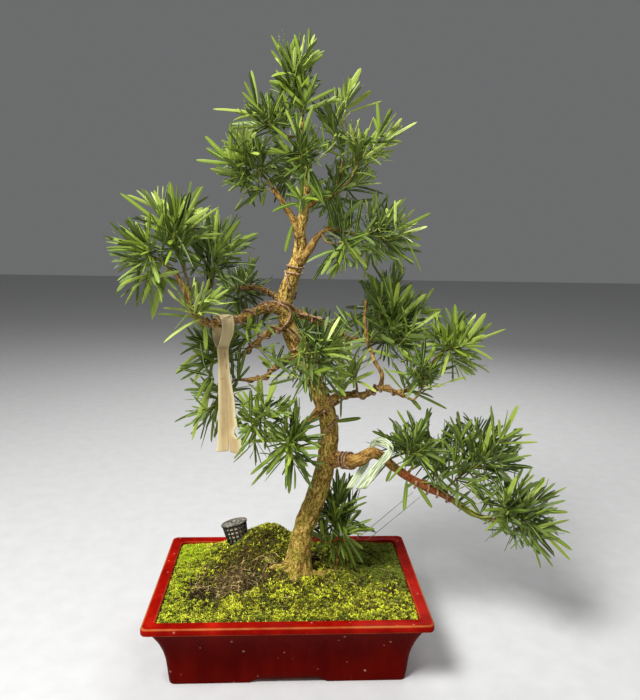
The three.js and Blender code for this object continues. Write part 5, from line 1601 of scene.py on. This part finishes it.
# Each row is how far a ring stands in from the rim's edge, its height, its corners' radius and
# how much of the red glaze has run off it
foot_in = POT["foot_inset"] + POT["foot_width"]
POT_RINGS = [
    (foot_in + 22, 5, 3, 0.6), (foot_in + 0.6, 5, 4, 0.6), (foot_in, 4.4, 4, 0.6), (foot_in, 0.6, 4, 0.7),
    (foot_in - 0.6, 0, 4, 0.9), (24.0, 0, 7, 0.9), (23.1, 0.5, 7, 0.5), (22.9, 1.6, 7, 0.1),
    (22.6, 5, 7, 0), (22, 10, 7, 0), (21.1, 20, 7.5, 0), (19.9, 30, 8, 0), (17.8, 40, 8, 0),
    (15, 49, 8, 0), (12.4, 56, 7.5, 0), (9.8, 62, 7, 0), (7.6, 66.5, 7, 0), (6.2, 69.2, 6.5, 0),
    (5.2, 70.4, 6.5, 0), (3.4, 70.8, 6, 0.1), (1.3, 71.0, 6, 0.5), (0.4, 71.5, 6, 0.8),
    (0, 72.5, 6, 0.25), (0, 75, 6, 0), (0, 77.2, 6, 0.15), (0.35, 78.3, 6, 0.9), (1.2, 78.9, 6, 1),
    (2.4, 79.0, 6, 0.2), (6, 79, 5.5, 0), (11, 79, 5, 0), (12.2, 78.8, 5, 0.4), (13.0, 78.1, 4.8, 0.8),
    (13.3, 76.5, 4.8, 0.2), (13.6, 72, 4.8, 0), (18, 62, 4.8, 0), (24, 50, 4.8, 0), (31, 16, 4.8, 0),
    (33, 14, 4.8, 0), (60, 14, 4.8, 0),
]
# How far the arches' ends slope, and how far in from the foot's inner edge they still cut, in mm
ARCH_SLOPE, ARCH_IN = 5, 3
# The heights between which the walls are a little uneven, and by how much
UNEVEN_BETWEEN, UNEVEN = (8, 70), 0.0022


def arch_lift(outline):
    """How far the cuts between the feet raise the foot's underside at each point."""
    lifts = []
    for along, across in ((0, 1), (1, 0)):
        end = POT["arch_half"][along]
        open_here = 1 - smooth(end - ARCH_SLOPE, end, np.abs(outline[:, along]))
        in_foot = np.abs(outline[:, across]) >= POT["rim_half"][across] - foot_in - ARCH_IN
        lifts.append(open_here * in_foot)
    return POT["foot_height"] * np.maximum(*lifts)


pot, rings, bare = Heap(), [], []
for inset, z, radius, marks in POT_RINGS:
    outline = rounded_outline(POT["rim_half"][0] - inset, POT["rim_half"][1] - inset, radius)
    lowest = arch_lift(outline) if z < POT["foot_height"] else np.zeros(len(outline))
    ring = np.column_stack([outline, np.maximum(z, lowest)])
    if UNEVEN_BETWEEN[0] < z < UNEVEN_BETWEEN[1] and inset < foot_in:
        ring[:, :2] *= 1 + UNEVEN * ripple(ring, 0.03)[:, None]
    rings.append(ring)
    bare += [marks] * len(outline)
pot.add(rings, capped_faces(len(rings), len(rings[0])))

# The glaze's red, lighter on the rim as painted light and darker on the walls below it as painted shade, and
# the clay and flecks that show
RED = [(0.3, (0.14, 0.0017, 0.0009)), (0.52, (0.25, 0.0035, 0.0012)), (0.72, (0.44, 0.011, 0.004))]
SHADED_WALL_RED = [(0.3, (0.065, 0.001, 0.0004)), (0.7, (0.13, 0.003, 0.001))]
CLAY, FLECK = (0.42, 0.13, 0.035), (0.6, 0.3, 0.2)
# The heights in metres over which the rim's painted light gives way to the walls' painted shade
WALL_SHADE_HEIGHTS = (0.0712, 0.07)
shader = Shader("red_glaze", Coat_Weight=0.012, Coat_Roughness=0.06, Specular_IOR_Level=0.01)
place = shader.place()
clouds = shader.noise(place, 22.0, 4.0)
runs = shader.noise(shader.stretched(place, (60.0, 60.0, 9.0)), 1.0, 3.0)
uneven = shader.mix(0.5, clouds, runs)
painted_wall_shade = shader.remap(shader.part(place, "Z"), *WALL_SHADE_HEIGHTS)
# Painted light and shade: the lighter red on the rim, the darker one on the walls below
red = shader.mix(painted_wall_shade, shader.ramp(uneven, RED), shader.ramp(uneven, SHADED_WALL_RED))
edge = shader.times(shader.attribute("bare"), shader.remap(clouds, 0.3, 0.62, 0.35, 1.1))
color = shader.mix(shader.remap(edge, 0.25, 0.95, 0.0, 0.9), red, CLAY)
chips = shader.node("TexVoronoi", {"Vector": place, "Scale": 80.0}, output="Distance")
fleck = shader.remap(shader.total((chips, 1), (shader.noise(place, 160.0), 0.25)), 0.235, 0.19)
color = shader.mix(shader.times(fleck, 0.45), color, FLECK)
shader.relief(shader.total((clouds, 1), (shader.noise(place, 140.0), 0.12)), 0.3, 0.0012)
glaze = shader.finish(Base_Color=color, Roughness=shader.remap(runs, *NOISE_RANGE, 0.2, 0.36))
make_piece("glazed_pot", pot, glaze, ["pot"], attributes={"bare": bare})

# ---------------------------------------------------------------- soil and moss

# The moss's half length and depth, its corners' radius in mm, and its cells along and across
SOIL_HALF = (136.4, 86.4)
SOIL_CORNER = 4.6
SOIL_CELLS = (136, 86)
# How fine the coarse and the fine cushions are, and where in the noise the fine ones are taken from
COARSE_NOISE, FINE_NOISE, FINE_SHIFT = 0.055, 0.17, 9.0
# How far the moss's coarse and fine cushions rise, over which mm from the wall, and how it sinks there
CUSHIONS, CUSHION_EDGE, SINK, SINK_EDGE = (2.6, 1.5), 14, 1.6, 5
# The earth's sides go down to this height, and lean in by this share
EARTH_LOW, EARTH_IN = 66, 0.97


def cushions(x, y):
    """How far the moss's cushions stand over or under the even surface."""
    flat = np.column_stack([x, y, np.zeros(len(x))])
    rise = CUSHIONS[0] * ripple(flat, COARSE_NOISE) + CUSHIONS[1] * ripple(flat, FINE_NOISE, FINE_SHIFT)
    edge = np.minimum(SOIL_HALF[0] - np.abs(x), SOIL_HALF[1] - np.abs(y))
    return rise * smooth(0, CUSHION_EDGE, edge) - SINK * (1 - smooth(0, SINK_EDGE, edge))


def into_corners(x, y):
    """Moves points near the corners in to the corners' curve."""
    over_x, over_y = (
        np.maximum(0, np.abs(values) - (half - SOIL_CORNER)) for values, half in zip((x, y), SOIL_HALF)
    )
    reach = np.maximum(1e-9, np.hypot(over_x, over_y))
    pull = np.where((over_x > 0) & (over_y > 0), np.minimum(1, SOIL_CORNER / reach), 1)
    x = np.sign(x) * (np.abs(x) - over_x * (1 - pull))
    y = np.sign(y) * (np.abs(y) - over_y * (1 - pull))
    return x, y


across, deep = (np.linspace(-half, half, cells + 1) for half, cells in zip(SOIL_HALF, SOIL_CELLS))
x, y = (values.ravel() for values in np.meshgrid(across, deep))
x, y = into_corners(x, y)
surface = np.column_stack([x, y, soil_height(x, y) + cushions(x, y)])
soil = Heap()
columns, rows = SOIL_CELLS[0] + 1, SOIL_CELLS[1] + 1
rim = grid_rim(rows, columns)
below = surface[rim] * (EARTH_IN, EARTH_IN, 0) + (0, 0, EARTH_LOW)
lower = np.arange(len(rim)) + rows * columns
walls = np.stack([rim, lower, np.roll(lower, -1), np.roll(rim, -1)], -1)
faces = np.concatenate([grid_faces(rows, columns), walls]).tolist() + [lower[::-1].tolist()]
soil.add(np.concatenate([surface, below]), faces)
EARTH = [(0.35, (0.016, 0.011, 0.006)), (0.6, (0.075, 0.052, 0.022)), (0.8, (0.18, 0.13, 0.05))]
GREEN_EARTH = [(0.35, (0.03, 0.04, 0.006)), (0.6, (0.12, 0.14, 0.015)), (0.8, (0.3, 0.32, 0.04))]
MOSS_GLOSS = 0.15
shader = Shader("moss_bed", Specular_IOR_Level=MOSS_GLOSS)
place = shader.place()
patches, grit = shader.noise(place, 55.0, 4.0), shader.noise(place, 420.0, 6.0, 0.7)
shader.relief(grit, 1.0, 0.0016)
share = shader.remap(patches, 0.38, 0.6)
color = shader.mix(share, shader.ramp(grit, EARTH), shader.ramp(grit, GREEN_EARTH))
bed = shader.finish(Base_Color=color, Roughness=0.95)
make_piece("moss_bed", soil, bed, ["soil_moss"])

# The moss's kinds by their own colours; bright also stands for painted light on the crests, and dark for
# painted shade in the dips
MOSS_COLORS = {
    "lime": (0.36, 0.46, 0.015),
    "bright": (0.7, 0.74, 0.05),
    "yellow": (0.34, 0.34, 0.025),
    "olive": (0.14, 0.125, 0.01),
    "green": (0.18, 0.23, 0.025),
    "brown": (0.11, 0.052, 0.013),
    "dark": (0.026, 0.014, 0.004),
}
# Tufts tried, blades in each, how tall they are in mm, and how much chance there is in where a kind grows
TUFTS, BLADES = 30000, 4
MOSS_HEIGHT, USUAL_MOSS = {"brown": 2.0, "dark": 1.6, "bright": 3.0}, 2.5
MOSS_CHANCE = 0.28
# No tufts grow on the trunk's foot or under the basket: their middles and the room they keep
TRUNK_FOOT, TRUNK_ROOM = (10, -8), (15, 3)
BASKET_FOOT, BASKET_ROOM = np.array([-63.0, 54.0]), 13
# A tuft's blades: their lean, their height as a share of the tuft's, and their half width in mm, each the
# least and how much more it may be, and then how far they turn out of their even spacing
LEAN, TALL, HALF_WIDTH, TURN_CHANCE = (0.35, 0.75), (0.55, 0.7), (0.42, 0.25), 0.3
# How far a tuft's foot is sunk and spread, and where a blade bends: shares of its height and of its lean
TUFT_SUNK, TUFT_SPREAD = 0.5, 0.15
LOWER_PART, UPPER_PART, MORE_LEAN = 0.6, 0.5, 1.6


def patch(x, y, middle, size):
    """A soft patch of the moss, 1 in its middle."""
    return np.exp(-(((x - middle[0]) / size[0]) ** 2 + ((y - middle[1]) / size[1]) ** 2))


def moss_claims(x, y):
    """How strongly each kind of moss claims a place: the bright kinds the crests, partly as painted light,
    and the dark ones the dips, partly as painted shade.
    """
    flat = np.column_stack([x, y, np.zeros(len(x))])
    clumps, specks = ripple(flat, 0.07, 3.0), ripple(flat, 0.24, 7.0)
    crest = 0.75 * ripple(flat, 0.36, 9.0) + 0.35 * ripple(flat, FINE_NOISE, 5.0)
    crest += 0.35 * ripple(flat, COARSE_NOISE)
    dead = patch(x, y, (-58, -14), (46, 24)) + 0.7 * patch(x, y, (-52, 24), (44, 22))
    # Painted shade on the moss at the right, towards the back
    shade = smooth(20, 95, x) * smooth(-48, 12, y)
    # Darker patches that the dark kind claims
    dark_patches = 1.5 * patch(x, y, (-94, -34), (26, 15)) + 1.2 * patch(x, y, (27, 28), (15, 26))
    dark_patches += 0.9 * patch(x, y, (-36, -18), (20, 10))
    left = 0.7 * smooth(-85, -125, x) + 0.65 * patch(x, y, (-110, 62), (34, 26))
    left += 0.3 * patch(x, y, (-34, -70), (26, 12))
    back = 0.3 * patch(x, y, (-46, 66), (30, 24))
    claims = {
        "lime": left + 0.5 * specks,
        "bright": 0.3 + 0.5 * clumps + 1.2 * crest - 0.7 * shade - 0.5 * dead,
        "yellow": 0.5 + 0.4 * clumps + 0.5 * crest - 0.3 * shade - 0.35 * dead,
        "olive": 0.5 + 0.5 * specks + 0.1 * shade + 0.12 * dead,
        "green": 0.28 + 0.6 * shade - 0.5 * clumps + 0.3 * crest + back - 0.4 * dead,
        "brown": 0.05 + 1.0 * dead + 0.45 * specks,
        "dark": 0.6 - 1.5 * crest + 0.3 * dead + 0.15 * shade + dark_patches,
    }
    return np.column_stack([claims[kind] for kind in MOSS_COLORS])


dice = np.random.default_rng(23)


def drawn(spread, shape=None):
    """Random values from the least up to that much more."""
    return spread[0] + spread[1] * dice.random(shape)


x, y = ((dice.random(TUFTS) * 2 - 1) * (half - 0.8) for half in SOIL_HALF)
x, y = into_corners(x, y)
ground = soil_height(x, y) + cushions(x, y)
keep = np.hypot(x - TRUNK_FOOT[0], y - TRUNK_FOOT[1]) > drawn(TRUNK_ROOM, TUFTS)
keep &= np.hypot(x - BASKET_FOOT[0], y - BASKET_FOOT[1]) > BASKET_ROOM
x, y, ground = x[keep], y[keep], ground[keep]
chance = dice.normal(0, MOSS_CHANCE, (len(x), len(MOSS_COLORS)))
kinds = (moss_claims(x, y) + chance).argmax(1)


def moss_tufts(x, y, ground, height):
    """Tufts of small curved blades that lean out from each place."""
    number = len(x)
    turn = (dice.random(number) * 2 * math.pi)[:, None] + np.arange(BLADES) * 2 * math.pi / BLADES
    turn += dice.normal(0, TURN_CHANCE, turn.shape)
    lean = drawn(LEAN, turn.shape)
    tall = (height * drawn(TALL, turn.shape))[..., None]
    away = np.stack([np.cos(turn), np.sin(turn), np.zeros_like(turn)], -1)
    side = np.stack([-np.sin(turn), np.cos(turn), np.zeros_like(turn)], -1)

    def leaning(angle):
        return away * np.sin(angle)[..., None] + np.array([0, 0, 1.0]) * np.cos(angle)[..., None]

    foot = np.column_stack([x, y, ground - TUFT_SUNK])[:, None] + away * TUFT_SPREAD
    side *= drawn(HALF_WIDTH, turn.shape)[..., None]
    middle = foot + leaning(lean) * tall * LOWER_PART
    tip = middle + leaning(lean * MORE_LEAN) * tall * UPPER_PART
    points = np.stack([foot - side, foot + side, middle + side, middle - side, tip], 2).reshape(-1, 3)
    start = np.arange(number * BLADES)[:, None] * 5
    return points, (start + [0, 1, 2, 3]), (start + [3, 2, 4])


for number, (kind, color) in enumerate(MOSS_COLORS.items()):
    chosen = kinds == number
    tall = MOSS_HEIGHT.get(kind, USUAL_MOSS)
    points, quads, tips = moss_tufts(x[chosen], y[chosen], ground[chosen], tall)
    tufts = Heap()
    tufts.add(points, quads.tolist() + tips.tolist())
    shader = Shader("moss_" + kind, Base_Color=color, Specular_IOR_Level=MOSS_GLOSS)
    place = shader.place()
    shader.relief(shader.noise(place, 900.0), 0.3, 0.0004)
    damp = shader.remap(shader.noise(place, 120.0), *NOISE_RANGE, 0.65, 0.95)
    make_piece("moss_" + kind, tufts, shader.finish(Roughness=damp))

# Dead roots and stalks lie tangled on the bare patch, and a few more on the rest
STALKS, ON_PATCH = 260, 0.72
PATCH, PATCH_SPREAD, REST_HALF = (-56, -14), (27, 15), (125, 76)
STALK_LIMIT, STALK_ROOM = (126, 76), 18
# Their length, rise and radius in mm, each the least and how much more, and how far they bow
STALK_LENGTH, STALK_RISE, STALK_RADIUS, STALK_BOW = (6, 17), (0.6, 2.6), (0.24, 0.2), 7
stalks = Heap()
share = np.linspace(-0.5, 0.5, 6)
for number in range(STALKS):
    if number < STALKS * ON_PATCH:
        middle = np.array(PATCH) + dice.normal(0, 1, 2) * PATCH_SPREAD
    else:
        middle = (dice.random(2) * 2 - 1) * REST_HALF
    if np.hypot(*(middle - BASKET_FOOT)) < STALK_ROOM or (np.abs(middle) > STALK_LIMIT).any():
        continue
    turn = dice.random() * 2 * math.pi
    length = drawn(STALK_LENGTH)
    bow = (dice.random() - 0.5) * STALK_BOW
    line = middle + np.outer(share * length, (math.cos(turn), math.sin(turn)))
    line += np.outer(bow * (0.25 - share ** 2), (-math.sin(turn), math.cos(turn)))
    rise = drawn(STALK_RISE)
    heights = soil_height(*line.T) + cushions(*line.T) + rise * (1 - 3.2 * share ** 2) + 0.4
    add_tube(stalks, np.column_stack([line, heights]), np.full(len(share), drawn(STALK_RADIUS)), 4)
straw = grained("dead_stalks", 150.0, 4.0, [
    (0.36, (0.05, 0.028, 0.009)), (0.52, (0.2, 0.125, 0.035)), (0.68, (0.7, 0.55, 0.24)),
], 0.85, (0.4, 0.0005))
make_piece("dead_stalks", stalks, straw)

# ---------------------------------------------------------------- fertiliser basket

# How deep it is sunk, where it stands, its radii and heights in mm, and how it tilts in radians
BASKET = {
    "sunk": 0.8, "aside": (-0.6, 8.5), "base": 12.8, "rim": 15, "wall": 20, "back": -0.19, "tilt": -0.24,
    "hoops": 5, "ribs": 16, "gauge": 0.95, "wall_in": 0.4,
}
# The lid's outline as radius and height over the wall's top, its rings and spokes, and their gauge
LID = [(15.9, 0), (16.4, 0.5), (16.4, 2.4), (15.7, 3.1), (9, 3.2)]
LID_TOP, LID_RINGS, LID_SPOKES, LID_GAUGE = 3.2, (4.5, 9.2, 13.4), 12, (0.6, 0.5)
# The feed's outline as radius and height from the base
FEED = [(11.0, 0.3), (11.6, 1.5), (13.4, BASKET["wall"] - 1)]
BASKET_SIDES, HOOP_SIDES = 40, 8
basket_foot = BASKET_FOOT + BASKET["aside"]
basket_base = np.array([*basket_foot, soil_height(*basket_foot) - BASKET["sunk"]])
basket_turn = np.array(Matrix.Rotation(BASKET["tilt"], 3, "Y") @ Matrix.Rotation(BASKET["back"], 3, "X"))


def basket_place(points):
    """From the basket's own axes, tilted and stood in the moss."""
    return np.asarray(points) @ basket_turn.T + basket_base


def circle(radius, z):
    angles = 2 * math.pi * np.arange(BASKET_SIDES) / BASKET_SIDES
    return np.column_stack([radius * np.cos(angles), radius * np.sin(angles), np.full(BASKET_SIDES, z)])


def add_hoop(heap, radius, z, gauge):
    """A closed ring of round wire."""
    turns = 2 * math.pi * np.arange(HOOP_SIDES) / HOOP_SIDES
    hoops = [circle(radius + gauge * math.cos(turn), z + gauge * math.sin(turn)) for turn in turns]
    index = np.arange(HOOP_SIDES * BASKET_SIDES).reshape(HOOP_SIDES, BASKET_SIDES)
    around, across = np.roll(index, -1, axis=1), np.roll(index, -1, axis=0)
    faces = np.stack([across, np.roll(across, -1, axis=1), around, index], -1)
    heap.add(basket_place(np.concatenate(hoops)), faces.reshape(-1, 4))


def add_spokes(heap, number, places, gauge):
    """Straight wires round the basket's axis, each through some radii and heights."""
    for angle in 2 * math.pi * np.arange(number) / number:
        line = [(radius * math.cos(angle), radius * math.sin(angle), z) for radius, z in places]
        add_tube(heap, basket_place(line), [gauge] * len(line))


basket, wall_top = Heap(), BASKET["wall"]
foot, top = BASKET["base"] - BASKET["wall_in"], BASKET["rim"] - BASKET["wall_in"]
for share in np.linspace(0, 1, BASKET["hoops"]):
    add_hoop(basket, between((foot, top), share), wall_top * share, BASKET["gauge"])
wall = [(foot, 0), ((foot + top) / 2, wall_top / 2), (top, wall_top)]
add_spokes(basket, BASKET["ribs"], wall, BASKET["gauge"])
rings = np.concatenate([circle(radius, wall_top + z) for radius, z in LID])
basket.add(basket_place(rings), capped_faces(len(LID), BASKET_SIDES))
lid_top = wall_top + LID_TOP
for radius in LID_RINGS:
    add_hoop(basket, radius, lid_top, LID_GAUGE[0])
add_spokes(basket, LID_SPOKES, [(radius, lid_top) for radius in (3.5, 8.5, 13.4)], LID_GAUGE[1])
PLASTIC = [(0.4, (0.008, 0.007, 0.005)), (0.6, (0.03, 0.025, 0.016)), (0.78, (0.16, 0.12, 0.08))]
DUSTY = [(0.36, (0.03, 0.026, 0.02)), (0.5, (0.15, 0.135, 0.105)), (0.64, (0.4, 0.37, 0.31))]
shader = Shader("basket_plastic")
dust = shader.noise(shader.place(), 330.0, 5.0)
shader.relief(dust, 0.3, 0.0004)
color = shader.mix(shader.attribute("lid"), shader.ramp(dust, PLASTIC), shader.ramp(dust, DUSTY))
plastic = shader.finish(Base_Color=color, Roughness=shader.remap(dust, *NOISE_RANGE, 0.5, 0.9))
heights = (np.concatenate(basket.points) - basket_base) @ basket_turn[:, 2]
on_lid = smooth(wall_top + 1.2, wall_top + 2.6, heights)
make_piece("mesh_basket", basket, plastic, ["fertiliser_basket"], attributes={"lid": on_lid})

cake = Heap()
rings = np.concatenate([circle(radius, z) for radius, z in FEED])
rings[BASKET_SIDES:] += 0.25 * ripple(rings[BASKET_SIDES:], 0.8)[:, None]
cake.add(basket_place(rings), capped_faces(len(FEED), BASKET_SIDES))
feed = grained("fertiliser", 520.0, 5.0, [
    (0.38, (0.3, 0.24, 0.12)), (0.6, (0.95, 0.84, 0.56)),
], 0.9, (0.8, 0.001))
make_piece("fertiliser_cake", cake, feed)

# ---------------------------------------------------------------- tag and label


# The tears' colour: painted shade in their gaps
TEAR_SHADE_COLOR = (0.27, 0.13, 0.06)


def paper_material(name, low, high, streak, edge):
    """Creased paper, paler along its edges as painted light and darker at its tears as painted shade."""
    shader = Shader(name)
    place = shader.place()
    fibres = shader.noise(place, 800.0, 5.0)
    creases = shader.noise(shader.stretched(place, streak), 1.0, 4.0)
    shader.relief(shader.total((creases, 1), (fibres, 0.3)), 0.35, 0.0008)
    # Where the edges' painted light and the tears' painted shade go
    painted_light_and_shade = shader.attribute("marks", vector=True)
    color = shader.ramp(creases, [(0.32, low), (0.66, high)])
    pale = shader.times(shader.part(painted_light_and_shade, "X"), shader.remap(creases, 0.3, 0.5, 0.55, 1.0))
    color = shader.mix(shader.part(painted_light_and_shade, "Y"), shader.mix(pale, color, edge), TEAR_SHADE_COLOR)
    return shader.finish(Base_Color=color, Roughness=shader.remap(fibres, *NOISE_RANGE, 0.55, 0.75))


tag_middle = limbs[TAG["over"]].point(TAG["at"])
TAG_THICK = 0.45


def under_sight(place, depth):
    """The point at some depth that the viewer sees at x and z on the upright plane."""
    aim = np.array([place[0], 0, place[1]])
    return EYE + (aim - EYE) * (depth - EYE[1]) / -EYE[1]


# Down the two strips of the tag's loop and then its hanging front, as the viewer sees them: height,
# left edge and right edge in the picture, and how far behind the bough's middle, in mm
LOOP = [
    (347, 216, 223, 0), (342, 214, 222.5, 4), (336, 212.5, 223, 8), (328, 212, 225, 11), (321, 212, 227, 11),
    (316, 213.5, 229.5, 7), (314.5, 216, 231, 0), (316.5, 219.5, 233, -7), (322, 221.5, 234.2, -11),
    (329, 222, 234.3, -12), (335, 221, 233, -11), (341, 219.5, 230.8, -8), (347, 218, 228.8, -5),
]
# Down the hanging front: height, left edge, slit and right edge in the picture
FRONT = np.array([
    (346, 217, 223, 229.0), (352, 217.2, 223.5, 228.5), (362, 218, 224, 229.2), (375, 218.1, 225, 230.2),
    (388, 218.3, 226, 232.4), (400, 218.4, 227, 234.6), (412, 218.4, 227.6, 235.8),
    (420, 218.2, 228, 236.7), (425.5, 218, 228.1, 237.6), (428, 217.9, 228.2, 235.6),
    (431, 217.8, 228.3, 234.3), (435, 217.7, 228.5, 234.8), (438, 217.5, 228.6, 237.2),
    (439.6, 217.4, 228.7, 241.2), (446, 217, 228.9, 242.3), (452, 216.5, 229, 243),
])
# Small tears, painted dark as shade in their gaps: where each is, down and across the picture, and how tall
# and wide it is
TEARS = [(355, 225, 3.2, 0.5), (366, 226.3, 2.8, 0.42), (379, 222, 0.4, 2.2), (330, 228, 0.3, 4)]
# The slit opens from one height to the tag's foot, by some pixels, more to its right than to its left
SLIT_FROM, TAG_ENDS, SLIT_OPEN, SLIT_LEFT = 437, 452, 1.5, 0.35
TILTS, TILT_FROM = (1.0, -2.8), 443
# How the front waves, slants and cups, in mm, and the picture's column where it doesn't slant
TAG_DEPTH = tag_middle[1] - 2
SLANT, SLANT_FROM, CUPPED, CUPPED_BETWEEN = -0.22, 224, 0.05, (385, 350)
rows = np.linspace(FRONT[0, 0], FRONT[-1, 0], 140)
left, slit, right = (np.interp(rows, FRONT[:, 0], FRONT[:, column]) for column in (1, 2, 3))


def tag_grid(start, end, tilt):
    """A strip of the tag between two edges that are seen in the picture, waving a little."""
    share = np.linspace(0, 1, 13)
    wide = start[:, None] + (end - start)[:, None] * share
    high = rows[:, None] - tilt * share * smooth(TILT_FROM, TAG_ENDS, rows)[:, None]
    wave = 1.0 * np.sin(high / 13.0 + 0.8) + 0.5 * np.sin(wide / 3.0 + high / 31.0)
    cupped = CUPPED * (wide - (left + right)[:, None] / 2) ** 2 * smooth(*CUPPED_BETWEEN, rows)[:, None]
    depth = TAG_DEPTH + wave + SLANT * (wide - SLANT_FROM) + cupped
    grid = [on_sight_line((u, v), y) for u, v, y in zip(wide.ravel(), high.ravel(), depth.ravel())]
    return np.array(grid).reshape(*wide.shape, 3), np.stack([wide, high], -1)


def marks(places):
    """How near each place in the picture is to the tag's edges, painted paler as light, and to its small
    tears, painted darker as shade.
    """
    wide, high = places[..., 0], places[..., 1]
    start, end = np.interp(high, rows, left), np.interp(high, rows, right)
    edge = smooth(0.3, 0.0, np.minimum(wide - start, end - wide) / (end - start))
    torn = [
        smooth(1.6, 0.5, np.hypot((high - v) / tall, (wide - u) / across)) for v, u, tall, across in TEARS
    ]
    return np.stack([edge, np.max(torn, axis=0), edge * 0], -1)


tag, tag_light_and_shade = Heap(), []
open_slit = SLIT_OPEN * smooth(SLIT_FROM, TAG_ENDS, rows)
strips = (left, slit - open_slit * SLIT_LEFT), (slit + open_slit * (1 - SLIT_LEFT), right)
for strip, tilt in zip(strips, TILTS):
    grid, places = tag_grid(*strip, tilt)
    add_slab(tag, grid, TAG_THICK)
    tag_light_and_shade += [marks(places).reshape(-1, 3)] * 2
shares = np.linspace(0, 1, 70)
sides = []
for side in (1, 2):
    bends = [on_sight_line((row[side], row[0]), TAG_DEPTH + 3 + row[3]) for row in LOOP]
    sides.append(Limb("edge", [(*bend, 0) for bend in bends]).line(shares))
start, end = (side[:, None] for side in sides)
add_slab(tag, start + (end - start) * np.linspace(0, 1, 9)[:, None], TAG_THICK)
# The loop is painted paler along its edges as light, and a little across its middle
loop_light = [(0.9 if step in (0, 8) else 0.25, 0, 0) for step in range(9)]
tag_light_and_shade += [np.tile(loop_light, (len(shares), 1))] * 2
# Its last colour is the edges' painted light
cream = paper_material(
    "tag_paper", (0.35, 0.245, 0.1), (0.53, 0.385, 0.19), (90.0, 90.0, 25.0), (0.66, 0.58, 0.33),
)
make_piece("wrapped_tag", tag, cream, ["paper_tag"], attributes={"marks": np.concatenate(tag_light_and_shade)})

# The label: x and z on the plane, depth, width, and the way its width lies
LABEL = [
    (68, 187, -26, 8, (1, 0, 0.1)), (76, 201, -24, 9, (1, 0, 0)), (84, 214, -22, 10, (1, 0, 0.1)),
    (86, 228, -17, 10, (0.8, 0, 0.5)), (90, 238, -14, 9, (0.3, 0.2, 0.9)),
    (99, 243, -14, 9, (0, 0.3, 0.95)), (108, 241, -22, 9, (0.3, 0.5, 0.7)),
    (113.5, 235, -30, 9, (0.8, 0.6, 0)), (110, 226, -37, 10, (1, 0.2, -0.2)),
    (101, 216, -39, 12.4, (1, 0, 0.1)), (91, 201, -39, 12.6, (1, 0, 0)), (81, 186.3, -40, 12.4, (1, 0, 0)),
]
LABEL_THICK = 0.5
line = Limb("label", [(*under_sight((x, z), depth), wide) for x, z, depth, wide, _ in LABEL])
shares = np.linspace(0, 1, 66)
facings = np.array([row[4] for row in LABEL], float)
bends = range(len(LABEL))
facings = np.stack([np.interp(shares * (len(LABEL) - 1), bends, column) for column in facings.T], 1)
wide = np.linspace(-1, 1, 9)
halves = facings / np.linalg.norm(facings, axis=1)[:, None] * line.radii(shares)[:, None]
grid = line.line(shares)[:, None] + halves[:, None] * wide[:, None]
grid[..., 1] += 0.5 * np.sin(grid[..., 0] / 3.1)
label = Heap()
add_slab(label, grid, LABEL_THICK)
shader = Shader("label_card")
stripes = shader.noise(shader.stretched(shader.attribute("across", vector=True), (0.9, 0.07, 1.0)), 1.0)
shader.relief(stripes, 0.4, 0.0006)
color = shader.ramp(stripes, [(0.38, (0.1, 0.19, 0.04)), (0.47, (0.5, 0.6, 0.3)), (0.58, (0.85, 0.88, 0.68))])
pale = shader.finish(Base_Color=color, Roughness=shader.remap(stripes, *NOISE_RANGE, 0.4, 0.65))
on_label = np.stack(np.broadcast_arrays(wide * 6.0, shares[:, None] * line.length, 0.0), -1)
on_label = np.concatenate([on_label, on_label]).reshape(-1, 3)
make_piece("bent_label", label, pale, ["small_label"], attributes={"across": on_label})

# ---------------------------------------------------------------- floor, light and camera

FLOOR_REACH = 6.0
corners = [(x * FLOOR_REACH, y * FLOOR_REACH, 0) for x, y in ((-1, -1), (1, -1), (1, 1), (-1, 1))]
floor_mesh = bpy.data.meshes.new("floor")
floor_mesh.from_pydata(corners, [], [(0, 1, 2, 3)])
floor_mesh.materials.append(grained("studio_floor", 40.0, 3.0, [
    (0.3, (0.54, 0.54, 0.535)), (0.7, (0.58, 0.58, 0.575)),
], 0.8, (0.05, 0.0005)))
floor = bpy.data.objects.new("floor", floor_mesh)
bpy.context.scene.collection.objects.link(floor)

world = bpy.data.worlds.new("studio")
world.use_nodes = True
sky = world.node_tree.nodes["Background"].inputs
sky["Color"].default_value, sky["Strength"].default_value = (0.83, 0.84, 0.85, 1), 0.18
bpy.context.scene.world = world

AIM = Vector((0, 0, 0.32))
# Name, place and size in metres, and power in watts
LAMPS = [
    ("key", (-0.75, -0.75, 1.55), 0.55, 48),
    ("fill", (1.25, -0.95, 0.8), 1.2, 4),
    ("rim", (0.35, 1.1, 1.3), 0.9, 12),
]
for name, place, size, power in LAMPS:
    light = bpy.data.lights.new(name, "AREA")
    light.size, light.energy = size, power
    lamp = bpy.data.objects.new(name, light)
    lamp.location = place
    lamp.rotation_euler = (AIM - lamp.location).to_track_quat("-Z", "Y").to_euler()
    bpy.context.scene.collection.objects.link(lamp)

SENSOR = 36.0
camera_data = bpy.data.cameras.new("camera")
camera_data.sensor_fit = "VERTICAL"
camera_data.sensor_height = SENSOR
camera_data.lens = SENSOR * FOCAL / (2 * PICTURE_MIDDLE[1])
camera_data.clip_start, camera_data.clip_end = 0.01, 50
camera = bpy.data.objects.new("camera", camera_data)
turned = Matrix((rightward, upward, -forward)).transposed().to_4x4()
camera.matrix_world = Matrix.Translation(Vector(EYE * MM + POT_MIDDLE)) @ turned
bpy.context.scene.collection.objects.link(camera)
bpy.context.scene.camera = camera
bpy.context.scene.view_settings.view_transform = "Standard"
